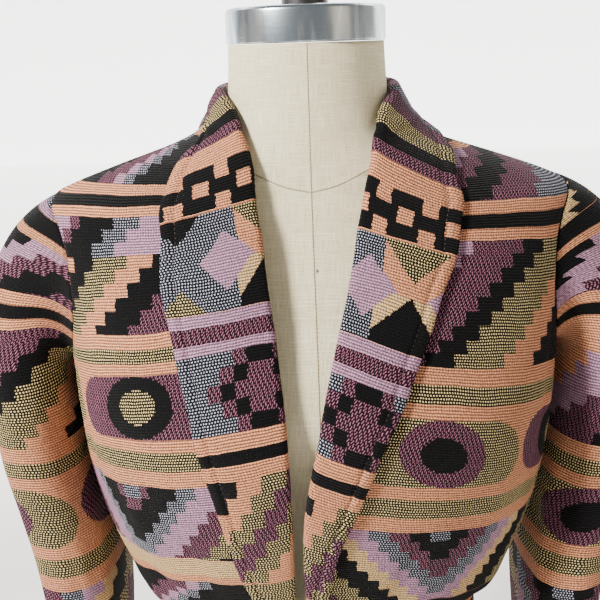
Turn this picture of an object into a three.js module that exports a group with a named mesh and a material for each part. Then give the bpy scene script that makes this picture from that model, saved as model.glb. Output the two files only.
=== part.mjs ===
// A blanket jacket with a shawl collar, worn by a limbless dress form on a counter stand.
// Millimetres, +Z up, the front faces -Y. The origin is the middle of the stand's foot.
import * as THREE from 'three';

// Cloth
const CLOTH = 2;              // wall of the woven cotton
const COLLAR = 2.4;           // the collar's doubled and pressed cloth
const SEAM = 0.35;            // clear width left at each seam
const LAP = 1.1;              // clear height between the cloth and what lies under it
const EDGE_LIFT = 1.7;        // clear height under the outer edge of the collar
const HEM = 488;              // height of the seam between the fronts and the waistband
const UNDERARM = 690;         // height of the armhole's lowest point
const SHOULDER_TIP = 818;     // height of the armhole's highest point
const NECKLINE = 869;         // height of the seam at the side and back of the neck

// Dress form and stand
const FOOT = { radius: 165, rim: 12, hub: 24, height: 60 };
const POLE_RADIUS = 12.5;
const PLATE = { radius: 42, height: 8 };
const TORSO_BASE = 215;
const NECK_TOP = 922;
const CAP = { radius: 58.8, height: 25, edge: 4 };
const KNOB = { flange: 17, neck: 7, ball: 14, middle: 30 };

// Waistband and button. The band's left end laps over its right one and lifts to pass it.
const WAISTBAND = { top: HEM - SEAM, bottom: 444, wall: 3, ease: 2.2, steps: 54 };
const LAP_OVER = { start: -6, angle: 14, lift: 4, from: 0.86, full: 0.95 };
const BUTTON = { radius: 11, height: 3.6, rim: 1.2, shank: 1, angle: -15.5, z: 466 };

const radians = THREE.MathUtils.degToRad;

// A table's rows as objects whose keys are its column names.
function table(columns, rows) {
  const names = columns.split(' ');
  return rows.map((row) => Object.fromEntries(names.map((name, i) => [name, row[i]])));
}

// Horizontal sections of the jacket's outer surface. The widest point lies at y = mid.
const JACKET = table('z half front back mid square', [
  [476, 129, 94, 89, 0, 2.2],
  [488, 134.3, 98.2, 92.2, 0, 2.2],
  [505, 151, 116, 116, 0, 2.2],
  [530, 160, 126, 124, 0, 2.25],
  [570, 171, 139, 130, 2, 2.35],
  [620, 181, 149, 132, 4, 2.45],
  [665, 185, 151, 133, 5, 2.5],
  [700, 187, 143, 132, 6, 2.5],
  [740, 192, 126, 130, 8, 2.45],
  [775, 199, 108, 126, 10, 2.35],
  [798, 205, 94, 119, 11, 2.2],
  [811, 204, 87, 113, 12, 2.05],
  [821.5, 184, 82, 106, 11, 1.9],
  [836, 144, 77, 93, 10, 1.8],
  [849, 105, 74, 82, 9, 1.8],
  [857, 87, 73, 78, 8, 1.9],
  [863, 79, 72.5, 76, 7, 2],
  [869, 72.5, 70.5, 73.5, 5, 2],
  [880, 67.5, 68, 69, 3, 2],
  [895, 65.5, 66, 67, 1, 2],
  [906, 65, 65.5, 66, 0, 2],
]);

// Horizontal sections of the padded torso and neck.
const TORSO = table('z half front back mid square', [
  [TORSO_BASE, 160, 95, 110, 5, 2.2],
  [222, 165, 99, 116, 5, 2.2],
  [260, 171, 104, 124, 5, 2.25],
  [310, 174, 107, 128, 5, 2.3],
  [350, 168, 106, 121, 4, 2.3],
  [390, 151, 100, 107, 3, 2.25],
  [425, 133, 94, 93, 2, 2.2],
  [455, 126, 90, 86, 0, 2.2],
  [480, 127, 91, 85, 0, 2.2],
  [520, 134, 97, 88, 0, 2.25],
  [570, 145, 109, 96, 2, 2.3],
  [620, 155, 127, 106, 4, 2.4],
  [665, 163, 138, 112, 5, 2.45],
  [700, 169, 130, 116, 6, 2.45],
  [740, 177, 108, 118, 8, 2.35],
  [775, 185, 88, 114, 10, 2.25],
  [795, 187, 77, 106, 10, 2.1],
  [808, 180, 73, 100, 10, 1.95],
  [818.5, 172, 69, 90, 10, 1.85],
  [833.3, 143, 66, 78, 9, 1.8],
  [846.3, 104, 64, 70, 8, 1.8],
  [854.5, 81, 63, 66, 6, 1.85],
  [861, 69, 62, 64, 4, 1.95],
  [868, 63.5, 61.5, 62, 3, 2],
  [878, 60.5, 60, 60.5, 2, 2],
  [895, 58.8, 58.5, 59, 0, 2],
  [NECK_TOP, 57.3, 57.3, 57.3, 0, 2],
]);

// The armhole seen from the side: y of its front and back edges at each height.
const ARMHOLE = table('z front back', [
  [UNDERARM, 6, 6],
  [693, -19, 29],
  [701, -37, 47],
  [715, -49, 61],
  [734, -56, 70],
  [755, -58, 74],
  [775, -54, 72],
  [792, -45, 65],
  [805, -32, 55],
  [813, -15, 39],
  [SHOULDER_TIP, 12, 12],
]);

// A sleeve below the armhole: centre, half width and half depth of its flattened oval.
const SLEEVE_SQUARE = 2.3;
const SLEEVE = table('z x y half deep', [
  [655, 224, 8, 36, 76],
  [615, 220.5, 7, 35.5, 74],
  [572, 211.5, 4, 34.5, 71],
  [530, 204, 0, 33.5, 68],
  [480, 200, -6, 31.5, 65],
  [430, 200, -11, 29.5, 62],
  [375, 202, -15, 27.5, 59],
  [315, 204, -18, 26, 57],
  [262, 205, -20, 25, 55],
]);

// The sleeve head: steps from the armhole down to the first oval, how strongly it swings out,
// and how much it closes towards the middle of the armhole.
const HEAD = { steps: [0, 0.1, 0.24, 0.42, 0.6, 0.8], pull: 1.1, close: 0.35 };
const ARMHOLE_MIDDLE = { y: 8, z: (UNDERARM + SHOULDER_TIP) / 2 };

// Stations of a collar half from the centre back to the hem, as directions round the body
// (0 front, 90 its own side, 180 back) and heights of the roll line and of the outer edge;
// then how deep the under layer reaches and how far the fall arches.
const COLLAR_COLUMNS = 'rollAngle rollZ edgeAngle edgeZ under arch';
const COLLAR_LEFT = table(COLLAR_COLUMNS, [
  [180, 898, 180, 843, 32, 4],
  [150, 897, 149, 844, 31, 4],
  [120, 895, 118, 849, 29, 5],
  [93, 893, 91, 863, 26, 3.5],
  [70, 888, 77, 866, 23, 3],
  [52, 879, 67, 859, 20, 2.5],
  [38, 864, 61, 845, 20, 2],
  [28, 844, 55.5, 829, 20, 2],
  [23.5, 822, 51, 812, 20, 2],
  [18.5, 796, 46.5, 790, 20, 2],
  [15, 768, 43, 765, 20, 2],
  [12.2, 742, 38.5, 740, 20, 2],
  [10.3, 716, 34.5, 714, 20, 2],
  [8.8, 690, 31, 688, 20, 2],
  [8.1, 662, 28.7, 660, 20, 2],
  [7.9, 630, 26.3, 628, 20, 2],
  [8.2, 596, 24.8, 594, 20, 2],
  [8.8, 560, 23.5, 559, 20, 1.5],
  [9.3, 524, 20.5, 524, 18, 1],
  [9.8, 494, 17.5, 494, 16, 0.5],
]);
const COLLAR_RIGHT = table(COLLAR_COLUMNS, [
  [180, 898, 180, 843, 32, 4],
  [150, 897, 149, 843, 31, 4],
  [120, 895, 118, 847, 29, 5],
  [93, 893, 95, 854, 26, 4],
  [70, 887, 84, 852, 23, 3],
  [50, 878, 73, 848, 20, 3],
  [36, 862, 64, 840, 20, 2],
  [28, 842, 56, 829, 20, 2],
  [22, 824, 51, 814, 20, 2],
  [16.5, 802, 46.5, 798, 20, 2],
  [12.5, 780, 41.5, 778, 20, 2],
  [9, 758, 35, 757, 20, 2],
  [5.6, 735, 29.5, 734, 20, 2],
  [2.9, 713, 24, 711, 20, 2],
  [0.6, 690, 19.5, 688, 20, 2],
  [-1.3, 664, 14.5, 663, 19, 1.5],
  [-3.4, 638, 11, 638, 18, 1],
  [-5, 612, 7.5, 612, 17, 1],
  [-5.8, 586, 4, 586, 16, 0.5],
  [-6.2, 554, 1.5, 554, 15, 0.5],
  [-6.4, 522, 0, 522, 14, 0.5],
  [-6.4, 494, -1, 494, 13, 0.5],
]);
const FOLD_RADIUS = 3.4;      // half the height between the collar's two layers at the roll
const FRONT_SETBACK = 8;      // from the roll line to the hidden edge of a front
const COLLAR_STEPS = 34;      // stations along a finished collar half
const CENTRE_BACK_TURN = 0.3; // degrees that each half stops short of the centre back seam

// Soft gathers where the blouse meets the waistband, all round but for the collar's width.
const GATHERS = { count: 18, height: 3, reach: 75, from: 26, full: 45 };

// Cloth rows: below the armhole, along it, and over the shoulder.
const LOWER_ROWS = [HEM, 500, 515, 535, 560, 590, 622, 652, 674];
const SHOULDER_ROWS = [825, 834, 843, 851, 858, 864, NECKLINE];
const CLOTH_ROWS = [...LOWER_ROWS, ...ARMHOLE.map((row) => row.z), ...SHOULDER_ROWS];
const FRONT_COLUMNS = 12;
const BACK_COLUMNS = 22;

// Smooth value of a column where the rows are placed by their own key column.
function smooth(rows, key, name, at) {
  const rising = rows[1][key] > rows[0][key] ? 1 : -1;
  const last = rows.length - 1;
  const place = THREE.MathUtils.clamp(at * rising, rows[0][key] * rising, rows[last][key] * rising);
  let i = 0;
  while (i < last - 1 && rows[i + 1][key] * rising <= place) i += 1;
  const slope = (k) => {
    const a = rows[Math.max(k - 1, 0)];
    const b = rows[Math.min(k + 1, last)];
    return (b[name] - a[name]) / ((b[key] - a[key]) * rising);
  };
  const span = (rows[i + 1][key] - rows[i][key]) * rising;
  const t = (place - rows[i][key] * rising) / span;
  const ease = t * t * (3 - 2 * t);
  const start = t * (1 - t) * (1 - t) * span;
  const end = t * t * (t - 1) * span;
  return rows[i][name] * (1 - ease) + rows[i + 1][name] * ease
    + slope(i) * start + slope(i + 1) * end;
}

function section(rows, z) {
  const value = (name) => smooth(rows, 'z', name, z);
  return {
    half: value('half'),
    front: value('front') + value('mid'),
    back: value('back') - value('mid'),
    mid: value('mid'),
    square: value('square'),
  };
}

// Point of a section in a direction round the body: 0 front, 90 degrees +X, 180 back.
function onSection(rows, z, degrees) {
  const cut = section(rows, z);
  const across = Math.sin(radians(degrees));
  const ahead = Math.cos(radians(degrees));
  const depth = ahead > 0 ? cut.front : cut.back;
  const power = Math.abs(across / cut.half) ** cut.square + Math.abs(ahead / depth) ** cut.square;
  const reach = power ** (-1 / cut.square);
  return new THREE.Vector3(reach * across, cut.mid - reach * ahead, z);
}

// The same point moved out along the surface's normal.
function offSection(rows, z, degrees, out) {
  const turn = 2;
  const rise = 1.5;
  const around = onSection(rows, z, degrees + turn).sub(onSection(rows, z, degrees - turn));
  const upward = onSection(rows, z + rise, degrees).sub(onSection(rows, z - rise, degrees));
  const normal = around.cross(upward).normalize();
  return onSection(rows, z, degrees).addScaledVector(normal, out);
}

// Direction in which the section at z has the given y, on its front or its back half.
function directionAt(z, y, side) {
  const cut = section(JACKET, z);
  const depth = side === 'front' ? cut.front : cut.back;
  const share = Math.min(Math.abs(y - cut.mid) / depth, 1);
  const x = cut.half * (1 - share ** cut.square) ** (1 / cut.square);
  return THREE.MathUtils.radToDeg(Math.atan2(x, cut.mid - y));
}

function gathered(z, degrees) {
  const fade = THREE.MathUtils.clamp(1 - (z - HEM) / GATHERS.reach, 0, 1);
  const fromFront = Math.abs(degrees > 180 ? degrees - 360 : degrees);
  const away = THREE.MathUtils.smoothstep(fromFront, GATHERS.from, GATHERS.full);
  return GATHERS.height * fade * fade * away * Math.cos(radians(degrees * GATHERS.count));
}

function jacketPoint(z, degrees, out) {
  return offSection(JACKET, z, degrees, out + gathered(z, degrees));
}

// A closed mesh from its points and triangles, turned so that its faces point out.
function closedGeometry(points, triangles) {
  let volume = 0;
  for (const [a, b, c] of triangles) {
    volume += points[a].dot(new THREE.Vector3().crossVectors(points[b], points[c]));
  }
  const outward = volume > 0 ? triangles : triangles.map(([a, b, c]) => [a, c, b]);
  const geometry = new THREE.BufferGeometry().setFromPoints(points);
  geometry.setIndex(outward.flat());
  geometry.computeVertexNormals();
  return geometry;
}

// A sheet with thickness: two grids of the same size, joined round their borders.
function sheetGeometry(outer, inner, ring = false) {
  const rows = outer.length;
  const columns = outer[0].length;
  const points = [...outer.flat(), ...inner.flat()];
  const index = (side, r, c) => side * rows * columns + r * columns + (c % columns);
  const triangles = [];
  const quad = (a, b, c, d) => triangles.push([a, b, c], [a, c, d]);
  const spans = ring ? columns : columns - 1;
  for (let r = 0; r < rows - 1; r += 1) {
    for (let c = 0; c < spans; c += 1) {
      quad(index(0, r, c), index(0, r, c + 1), index(0, r + 1, c + 1), index(0, r + 1, c));
      quad(index(1, r, c), index(1, r + 1, c), index(1, r + 1, c + 1), index(1, r, c + 1));
    }
  }
  for (let c = 0; c < spans; c += 1) {
    quad(index(0, 0, c), index(1, 0, c), index(1, 0, c + 1), index(0, 0, c + 1));
    quad(index(0, rows - 1, c), index(0, rows - 1, c + 1),
      index(1, rows - 1, c + 1), index(1, rows - 1, c));
  }
  if (!ring) {
    for (let r = 0; r < rows - 1; r += 1) {
      quad(index(0, r, 0), index(0, r + 1, 0), index(1, r + 1, 0), index(1, r, 0));
      quad(index(0, r, columns - 1), index(1, r, columns - 1),
        index(1, r + 1, columns - 1), index(0, r + 1, columns - 1));
    }
  }
  return closedGeometry(points, triangles);
}

// A solid through closed rings, with a flat fan at each end.
function loftGeometry(rings) {
  const columns = rings[0].length;
  const points = rings.flat();
  const triangles = [];
  for (let r = 0; r < rings.length - 1; r += 1) {
    for (let c = 0; c < columns; c += 1) {
      const next = (c + 1) % columns;
      const [a, b] = [r * columns + c, r * columns + next];
      triangles.push([a, b, b + columns], [a, b + columns, a + columns]);
    }
  }
  const centre = (ring) => ring.reduce((sum, p) => sum.add(p), new THREE.Vector3())
    .divideScalar(columns);
  const bottom = points.push(centre(rings[0])) - 1;
  const top = points.push(centre(rings[rings.length - 1])) - 1;
  const lastRing = (rings.length - 1) * columns;
  for (let c = 0; c < columns; c += 1) {
    const next = (c + 1) % columns;
    triangles.push([bottom, next, c], [top, lastRing + c, lastRing + next]);
  }
  return closedGeometry(points, triangles);
}

// A solid of revolution about Z from [radius, height] pairs that start and end on the axis.
function turned(profile, segments = 40) {
  const geometry = new THREE.LatheGeometry(profile.map(([r, z]) => new THREE.Vector2(r, z)), segments);
  return geometry.rotateX(Math.PI / 2);
}

function lerp(a, b, t) {
  return a + (b - a) * t;
}

// Collar halves. A station's path runs over the body from the roll line to the outer edge.
function collarStation(rows, step) {
  const keyed = rows.map((row, i) => ({ ...row, step: i }));
  const value = (name) => smooth(keyed, 'step', name, step);
  const station = {
    rollAngle: value('rollAngle'),
    rollZ: value('rollZ'),
    edgeAngle: value('edgeAngle'),
    edgeZ: value('edgeZ'),
    under: value('under'),
    arch: value('arch'),
  };
  const roll = onSection(JACKET, station.rollZ, station.rollAngle);
  const middle = pathPoint(station, 0.5);
  const edge = onSection(JACKET, station.edgeZ, station.edgeAngle);
  station.length = roll.distanceTo(middle) + middle.distanceTo(edge);
  return station;
}

function pathPlace(station, share) {
  return {
    angle: lerp(station.rollAngle, station.edgeAngle, share),
    z: lerp(station.rollZ, station.edgeZ, share),
  };
}

function pathPoint(station, share) {
  const place = pathPlace(station, share);
  return onSection(JACKET, place.z, place.angle);
}

// Point of a collar's section: distance in from the roll line, and height over the cloth below.
function collarPoint(station, distance, height, side) {
  const place = pathPlace(station, distance / station.length);
  return offSection(JACKET, Math.max(place.z, HEM + SEAM), side * place.angle, height);
}

// One station's two lines of points, on the outside and the inside of the folded cloth.
function collarSection(station, side) {
  const half = COLLAR / 2;
  const lower = -(CLOTH + LAP + half);
  const fold = FOLD_RADIUS + half;
  const middle = lower + FOLD_RADIUS;
  const lines = [[], []];
  const add = (distance, height, sideways, upward) => lines.forEach((line, i) => {
    const out = i === 0 ? half : -half;
    line.push(collarPoint(station, distance + out * sideways, height + out * upward, side));
  });
  for (const share of [1, 0.7, 0.35]) add(lerp(fold, station.under, share), lower, 0, -1);
  for (const turn of [0, 45, 90, 135, 180]) {
    const [sideways, upward] = [-Math.sin(radians(turn)), -Math.cos(radians(turn))];
    add(fold + FOLD_RADIUS * sideways, middle + FOLD_RADIUS * upward, sideways, upward);
  }
  const edgeHeight = EDGE_LIFT + half;
  for (const share of [0.2, 0.45, 0.75, 1]) {
    const arch = 4 * share * (1 - share) * station.arch;
    const height = lerp(middle + FOLD_RADIUS, edgeHeight, share) + arch;
    add(lerp(fold, station.length, share), height, 0, 1);
  }
  return lines;
}

// The two halves meet at the centre back.
function collarHalf(rows, side) {
  const outer = [];
  const inner = [];
  for (let i = 0; i <= COLLAR_STEPS; i += 1) {
    const station = collarStation(rows, (i / COLLAR_STEPS) * (rows.length - 1));
    if (i === 0) {
      station.rollAngle -= CENTRE_BACK_TURN;
      station.edgeAngle -= CENTRE_BACK_TURN;
    }
    const [outside, inside] = collarSection(station, side);
    outer.push(outside);
    inner.push(inside);
  }
  return sheetGeometry(outer, inner);
}

// The hidden edge of a front, set back from the roll line, as a direction at each height.
function frontEdge(collar) {
  const rows = collar.map((row, i) => {
    const station = collarStation(collar, i);
    const { angle, z } = pathPlace(station, FRONT_SETBACK / station.length);
    return { z, angle };
  });
  return (z) => smooth(rows, 'z', 'angle', z);
}

// Direction of the armhole edge or the side seam at each row.
function sideEdge(z, side) {
  if (z < UNDERARM || z > SHOULDER_TIP) return 90;
  return directionAt(z, smooth(ARMHOLE, 'z', side, z), side);
}

function seamTurn(z) {
  return THREE.MathUtils.radToDeg(SEAM / 2 / section(JACKET, z).half);
}

function panel(columns, edgesAt) {
  const grid = (out) => CLOTH_ROWS.map((z) => {
    const [from, to] = edgesAt(z);
    return Array.from({ length: columns + 1 }, (_, c) =>
      jacketPoint(z, lerp(from, to, c / columns), out));
  });
  return sheetGeometry(grid(0), grid(-CLOTH));
}

function frontPanel(collar, side) {
  const inner = frontEdge(collar);
  return panel(FRONT_COLUMNS, (z) => [
    side * inner(z),
    side * (sideEdge(z, 'front') - seamTurn(z)),
  ]);
}

function backPanel() {
  return panel(BACK_COLUMNS, (z) => {
    const edge = sideEdge(z, 'back') + seamTurn(z);
    return [edge, 360 - edge];
  });
}

// Sleeves. Each column leaves the armhole outwards and turns down into the hanging oval.
function armholeLoop() {
  const front = ARMHOLE.map(({ z }) => ({ z, angle: sideEdge(z, 'front'), side: 'front' }));
  const back = ARMHOLE.map(({ z }) => ({ z, angle: sideEdge(z, 'back'), side: 'back' }));
  return [...front, ...back.slice(1, -1).reverse()];
}

function sleeveOval(z, turn) {
  const value = (name) => smooth(SLEEVE, 'z', name, z);
  const [across, along] = [Math.cos(radians(turn)), Math.sin(radians(turn))];
  const bend = (v) => Math.sign(v) * Math.abs(v) ** (2 / SLEEVE_SQUARE);
  return new THREE.Vector3(value('x') + value('half') * bend(across),
    value('y') + value('deep') * bend(along), z);
}

// One column of the sleeve's outer surface, from its armhole seam to the wrist.
function sleeveColumn({ z, angle }, turn) {
  const start = jacketPoint(z, angle, 0);
  const inward = new THREE.Vector3(0, ARMHOLE_MIDDLE.y - start.y, ARMHOLE_MIDDLE.z - start.z);
  const away = new THREE.Vector3(1, 0, 0).addScaledVector(inward.normalize(), HEAD.close).normalize();
  start.addScaledVector(away, SEAM);
  const end = sleeveOval(SLEEVE[0].z, turn);
  const down = sleeveOval(SLEEVE[1].z, turn).sub(end).normalize();
  const pull = HEAD.pull * start.distanceTo(end);
  const head = HEAD.steps.map((t) => start.clone()
    .lerp(end, t * t * (3 - 2 * t))
    .addScaledVector(away, t * (1 - t) * (1 - t) * pull)
    .addScaledVector(down, t * t * (t - 1) * pull));
  return [...head, ...SLEEVE.map((row) => sleeveOval(row.z, turn))];
}

function sleeve(side) {
  const loop = armholeLoop();
  const columns = loop.map((start, c) => sleeveColumn(start, 180 + (c / loop.length) * 360));
  const outer = columns[0].map((_, r) => columns.map((column) => column[r]));
  const inner = outer.map((ring, r) => ring.map((point, c) => {
    const above = outer[Math.max(r - 1, 0)][c];
    const below = outer[Math.min(r + 1, outer.length - 1)][c];
    const before = ring[(c + ring.length - 1) % ring.length];
    const after = ring[(c + 1) % ring.length];
    const inward = after.clone().sub(before).cross(below.clone().sub(above)).normalize();
    return point.clone().addScaledVector(inward, CLOTH);
  }));
  const placed = (grid) => grid.map((ring) => ring.map((p) =>
    new THREE.Vector3(side * p.x, p.y, p.z)));
  return sheetGeometry(placed(outer), placed(inner), true);
}

function waistband() {
  const heights = [WAISTBAND.bottom, lerp(WAISTBAND.bottom, WAISTBAND.top, 0.5), WAISTBAND.top];
  const grid = (out) => heights.map((z) => Array.from({ length: WAISTBAND.steps + 1 }, (_, i) => {
    const share = i / WAISTBAND.steps;
    const degrees = LAP_OVER.start - share * (360 + LAP_OVER.angle);
    const over = 1 - THREE.MathUtils.smoothstep(share, 1 - LAP_OVER.full, 1 - LAP_OVER.from);
    return offSection(TORSO, z, degrees, WAISTBAND.ease + LAP_OVER.lift * over + out);
  }));
  return sheetGeometry(grid(WAISTBAND.wall), grid(0));
}

function button() {
  const { radius, height, rim } = BUTTON;
  const geometry = turned([
    [0, 0],
    [radius - rim, 0],
    [radius, rim],
    [radius, height - rim],
    [radius - rim, height],
    [radius - 3 * rim, height],
    [radius - 4 * rim, height - rim / 2],
    [0, height - rim / 2],
  ], 24);
  const face = WAISTBAND.ease + LAP_OVER.lift + WAISTBAND.wall;
  const seat = offSection(TORSO, BUTTON.z, BUTTON.angle, face + BUTTON.shank);
  const out = offSection(TORSO, BUTTON.z, BUTTON.angle, face + radius).sub(seat).normalize();
  const up = new THREE.Vector3(0, 0, 1);
  geometry.applyQuaternion(new THREE.Quaternion().setFromUnitVectors(up, out));
  return geometry.translate(seat.x, seat.y, seat.z);
}

// Dress form
function torso() {
  const segments = 40;
  const rings = TORSO.map(({ z }) => Array.from({ length: segments }, (_, c) =>
    onSection(TORSO, z, (c / segments) * 360)));
  return loftGeometry(rings);
}

function neckCap() {
  const { radius, height, edge } = CAP;
  const z = NECK_TOP + SEAM;
  const corner = [0, 22.5, 45, 67.5, 90].map((degrees) => [
    radius - edge + edge * Math.cos(radians(degrees)),
    z + height - edge + edge * Math.sin(radians(degrees)),
  ]);
  return turned([[0, z], [radius, z], ...corner, [0, z + height]]);
}

function capKnob() {
  const z = NECK_TOP + CAP.height + 2 * SEAM;
  const ball = [-50, -25, 0, 25, 50, 75].map((degrees) => [
    KNOB.ball * Math.cos(radians(degrees)),
    z + KNOB.middle + KNOB.ball * Math.sin(radians(degrees)),
  ]);
  const foot = [[0, z], [KNOB.flange, z], [KNOB.flange, z + 5], [KNOB.neck + 2, z + 9]];
  return turned([...foot, [KNOB.neck, z + 15], ...ball, [0, z + KNOB.middle + KNOB.ball]], 24);
}

function standFoot() {
  const { radius, rim, hub, height } = FOOT;
  return turned([
    [0, 0],
    [radius - 3, 0],
    [radius, 4],
    [radius, rim],
    [radius - 6, rim + 6],
    [3 * hub, rim + 15],
    [hub + 10, rim + 22],
    [hub + 2, rim + 30],
    [hub, height],
    [0, height],
  ]);
}

function standPole() {
  const [bottom, top] = [FOOT.height + SEAM, TORSO_BASE - PLATE.height - 2 * SEAM];
  return turned([[0, bottom], [POLE_RADIUS, bottom], [POLE_RADIUS, top], [0, top]], 24);
}

function standPlate() {
  const { radius, height } = PLATE;
  const [bottom, top] = [TORSO_BASE - height - SEAM, TORSO_BASE - SEAM];
  return turned([[0, bottom], [radius - 4, bottom], [radius, bottom + 2], [radius, top], [0, top]], 24);
}

const FINISH = {
  cloth: { color: 0x6b5560, roughness: 0.92, metalness: 0 },
  linen: { color: 0xd8cfbb, roughness: 0.9, metalness: 0 },
  cap: { color: 0xb9bcc0, roughness: 0.25, metalness: 1 },
  black: { color: 0x1b1b1d, roughness: 0.45, metalness: 0 },
  steel: { color: 0xa9abad, roughness: 0.3, metalness: 1 },
  horn: { color: 0x2a2220, roughness: 0.35, metalness: 0 },
};

const group = new THREE.Group();

function add(name, geometry, finish) {
  const mesh = new THREE.Mesh(geometry, new THREE.MeshStandardMaterial(FINISH[finish]));
  mesh.name = name;
  group.add(mesh);
}

add('back', backPanel(), 'cloth');
add('front_left', frontPanel(COLLAR_LEFT, -1), 'cloth');
add('front_right', frontPanel(COLLAR_RIGHT, 1), 'cloth');
add('sleeve_left', sleeve(-1), 'cloth');
add('sleeve_right', sleeve(1), 'cloth');
add('collar_left', collarHalf(COLLAR_LEFT, -1), 'cloth');
add('collar_right', collarHalf(COLLAR_RIGHT, 1), 'cloth');
add('waistband', waistband(), 'cloth');
add('button', button(), 'horn');
add('form_torso', torso(), 'linen');
add('neck_cap', neckCap(), 'cap');
add('cap_knob', capKnob(), 'black');
add('stand_foot', standFoot(), 'black');
add('stand_pole', standPole(), 'steel');
add('stand_plate', standPlate(), 'black');

export default group;
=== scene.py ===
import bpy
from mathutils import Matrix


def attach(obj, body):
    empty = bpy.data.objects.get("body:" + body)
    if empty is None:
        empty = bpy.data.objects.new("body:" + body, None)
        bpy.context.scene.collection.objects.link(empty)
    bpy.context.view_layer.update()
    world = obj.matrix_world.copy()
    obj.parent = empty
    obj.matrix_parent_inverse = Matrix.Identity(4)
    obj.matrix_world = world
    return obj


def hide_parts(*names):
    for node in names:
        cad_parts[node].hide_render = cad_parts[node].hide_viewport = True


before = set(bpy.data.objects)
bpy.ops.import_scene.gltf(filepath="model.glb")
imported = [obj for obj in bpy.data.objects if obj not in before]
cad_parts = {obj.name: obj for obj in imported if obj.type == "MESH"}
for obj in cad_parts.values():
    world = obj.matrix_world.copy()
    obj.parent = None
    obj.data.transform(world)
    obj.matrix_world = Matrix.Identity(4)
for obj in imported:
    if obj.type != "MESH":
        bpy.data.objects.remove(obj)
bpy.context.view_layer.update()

import math
import random
from collections import namedtuple
from functools import lru_cache

import bmesh
import bpy
from mathutils import Matrix, Vector

# Forms are worked out in millimetres and put into the meshes in metres.
MM = 0.001

# Heights of the jacket's main lines, thickness of its cloth and of its collar, gap at a seam.
HEM = 488.0
UNDERARM = 690.0
SHOULDER_TIP = 818.0
NECKLINE = 869.0
CLOTH = 2.0
COLLAR = 2.4
SEAM = 0.35

# Horizontal sections of the jacket: height, half width, front, back, middle, squareness.
JACKET = (
    (476, 129, 94, 89, 0, 2.2), (488, 134.3, 98.2, 92.2, 0, 2.2), (505, 151, 116, 116, 0, 2.2),
    (530, 160, 126, 124, 0, 2.25), (570, 171, 139, 130, 2, 2.35), (620, 181, 149, 132, 4, 2.45),
    (665, 185, 151, 133, 5, 2.5), (700, 187, 143, 132, 6, 2.5), (740, 192, 126, 130, 8, 2.45),
    (775, 199, 108, 126, 10, 2.35), (798, 205, 94, 119, 11, 2.2), (811, 204, 87, 113, 12, 2.05),
    (821.5, 184, 82, 106, 11, 1.9), (836, 144, 77, 93, 10, 1.8), (849, 105, 74, 82, 9, 1.8),
    (857, 87, 73, 78, 8, 1.9), (863, 79, 72.5, 76, 7, 2), (869, 72.5, 70.5, 73.5, 5, 2),
    (880, 67.5, 68, 69, 3, 2), (895, 65.5, 66, 67, 1, 2), (906, 65, 65.5, 66, 0, 2),
)

# The same for the padded torso and neck.
TORSO = (
    (215, 160, 95, 110, 5, 2.2), (222, 165, 99, 116, 5, 2.2), (260, 171, 104, 124, 5, 2.25),
    (310, 174, 107, 128, 5, 2.3), (350, 168, 106, 121, 4, 2.3), (390, 151, 100, 107, 3, 2.25),
    (425, 133, 94, 93, 2, 2.2), (455, 126, 90, 86, 0, 2.2), (480, 127, 91, 85, 0, 2.2),
    (520, 134, 97, 88, 0, 2.25), (570, 145, 109, 96, 2, 2.3), (620, 155, 127, 106, 4, 2.4),
    (665, 163, 138, 112, 5, 2.45), (700, 169, 130, 116, 6, 2.45), (740, 177, 108, 118, 8, 2.35),
    (775, 185, 88, 114, 10, 2.25), (795, 187, 77, 106, 10, 2.1), (808, 180, 73, 100, 10, 1.95),
    (818.5, 172, 69, 90, 10, 1.85), (833.3, 143, 66, 78, 9, 1.8), (846.3, 104, 64, 70, 8, 1.8),
    (854.5, 81, 63, 66, 6, 1.85), (861, 69, 62, 64, 4, 1.95), (868, 63.5, 61.5, 62, 3, 2),
    (878, 60.5, 60, 60.5, 2, 2), (895, 58.8, 58.5, 59, 0, 2), (922, 57.3, 57.3, 57.3, 0, 2),
)

# The armhole from the side: height, y of its front edge, y of its back edge.
ARMHOLE = (
    (UNDERARM, 6, 6), (693, -19, 29), (701, -37, 47), (715, -49, 61), (734, -56, 70), (755, -58, 74),
    (775, -54, 72), (792, -45, 65), (805, -32, 55), (813, -15, 39), (SHOULDER_TIP, 12, 12),
)

# A sleeve below the armhole: height, centre x and y, half width, half depth of its oval.
SLEEVE = (
    (655, 224, 8, 36, 76), (615, 220.5, 7, 35.5, 74), (572, 211.5, 4, 34.5, 71),
    (530, 204, 0, 33.5, 68), (480, 200, -6, 31.5, 65), (430, 200, -11, 29.5, 62),
    (375, 202, -15, 27.5, 59), (315, 204, -18, 26, 57), (262, 205, -20, 25, 55),
)

# Squareness of that oval, and of the sleeve head: pull of its curve, lean towards the armhole's
# middle, its cloth against the straight way, and that middle's y and height.
SLEEVE_SQUARE = 2.3
HEAD_PULL = 1.1
HEAD_CLOSE = 0.35
HEAD_LONGER = 1.08
ARMHOLE_MIDDLE = (8.0, (UNDERARM + SHOULDER_TIP) / 2)

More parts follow.
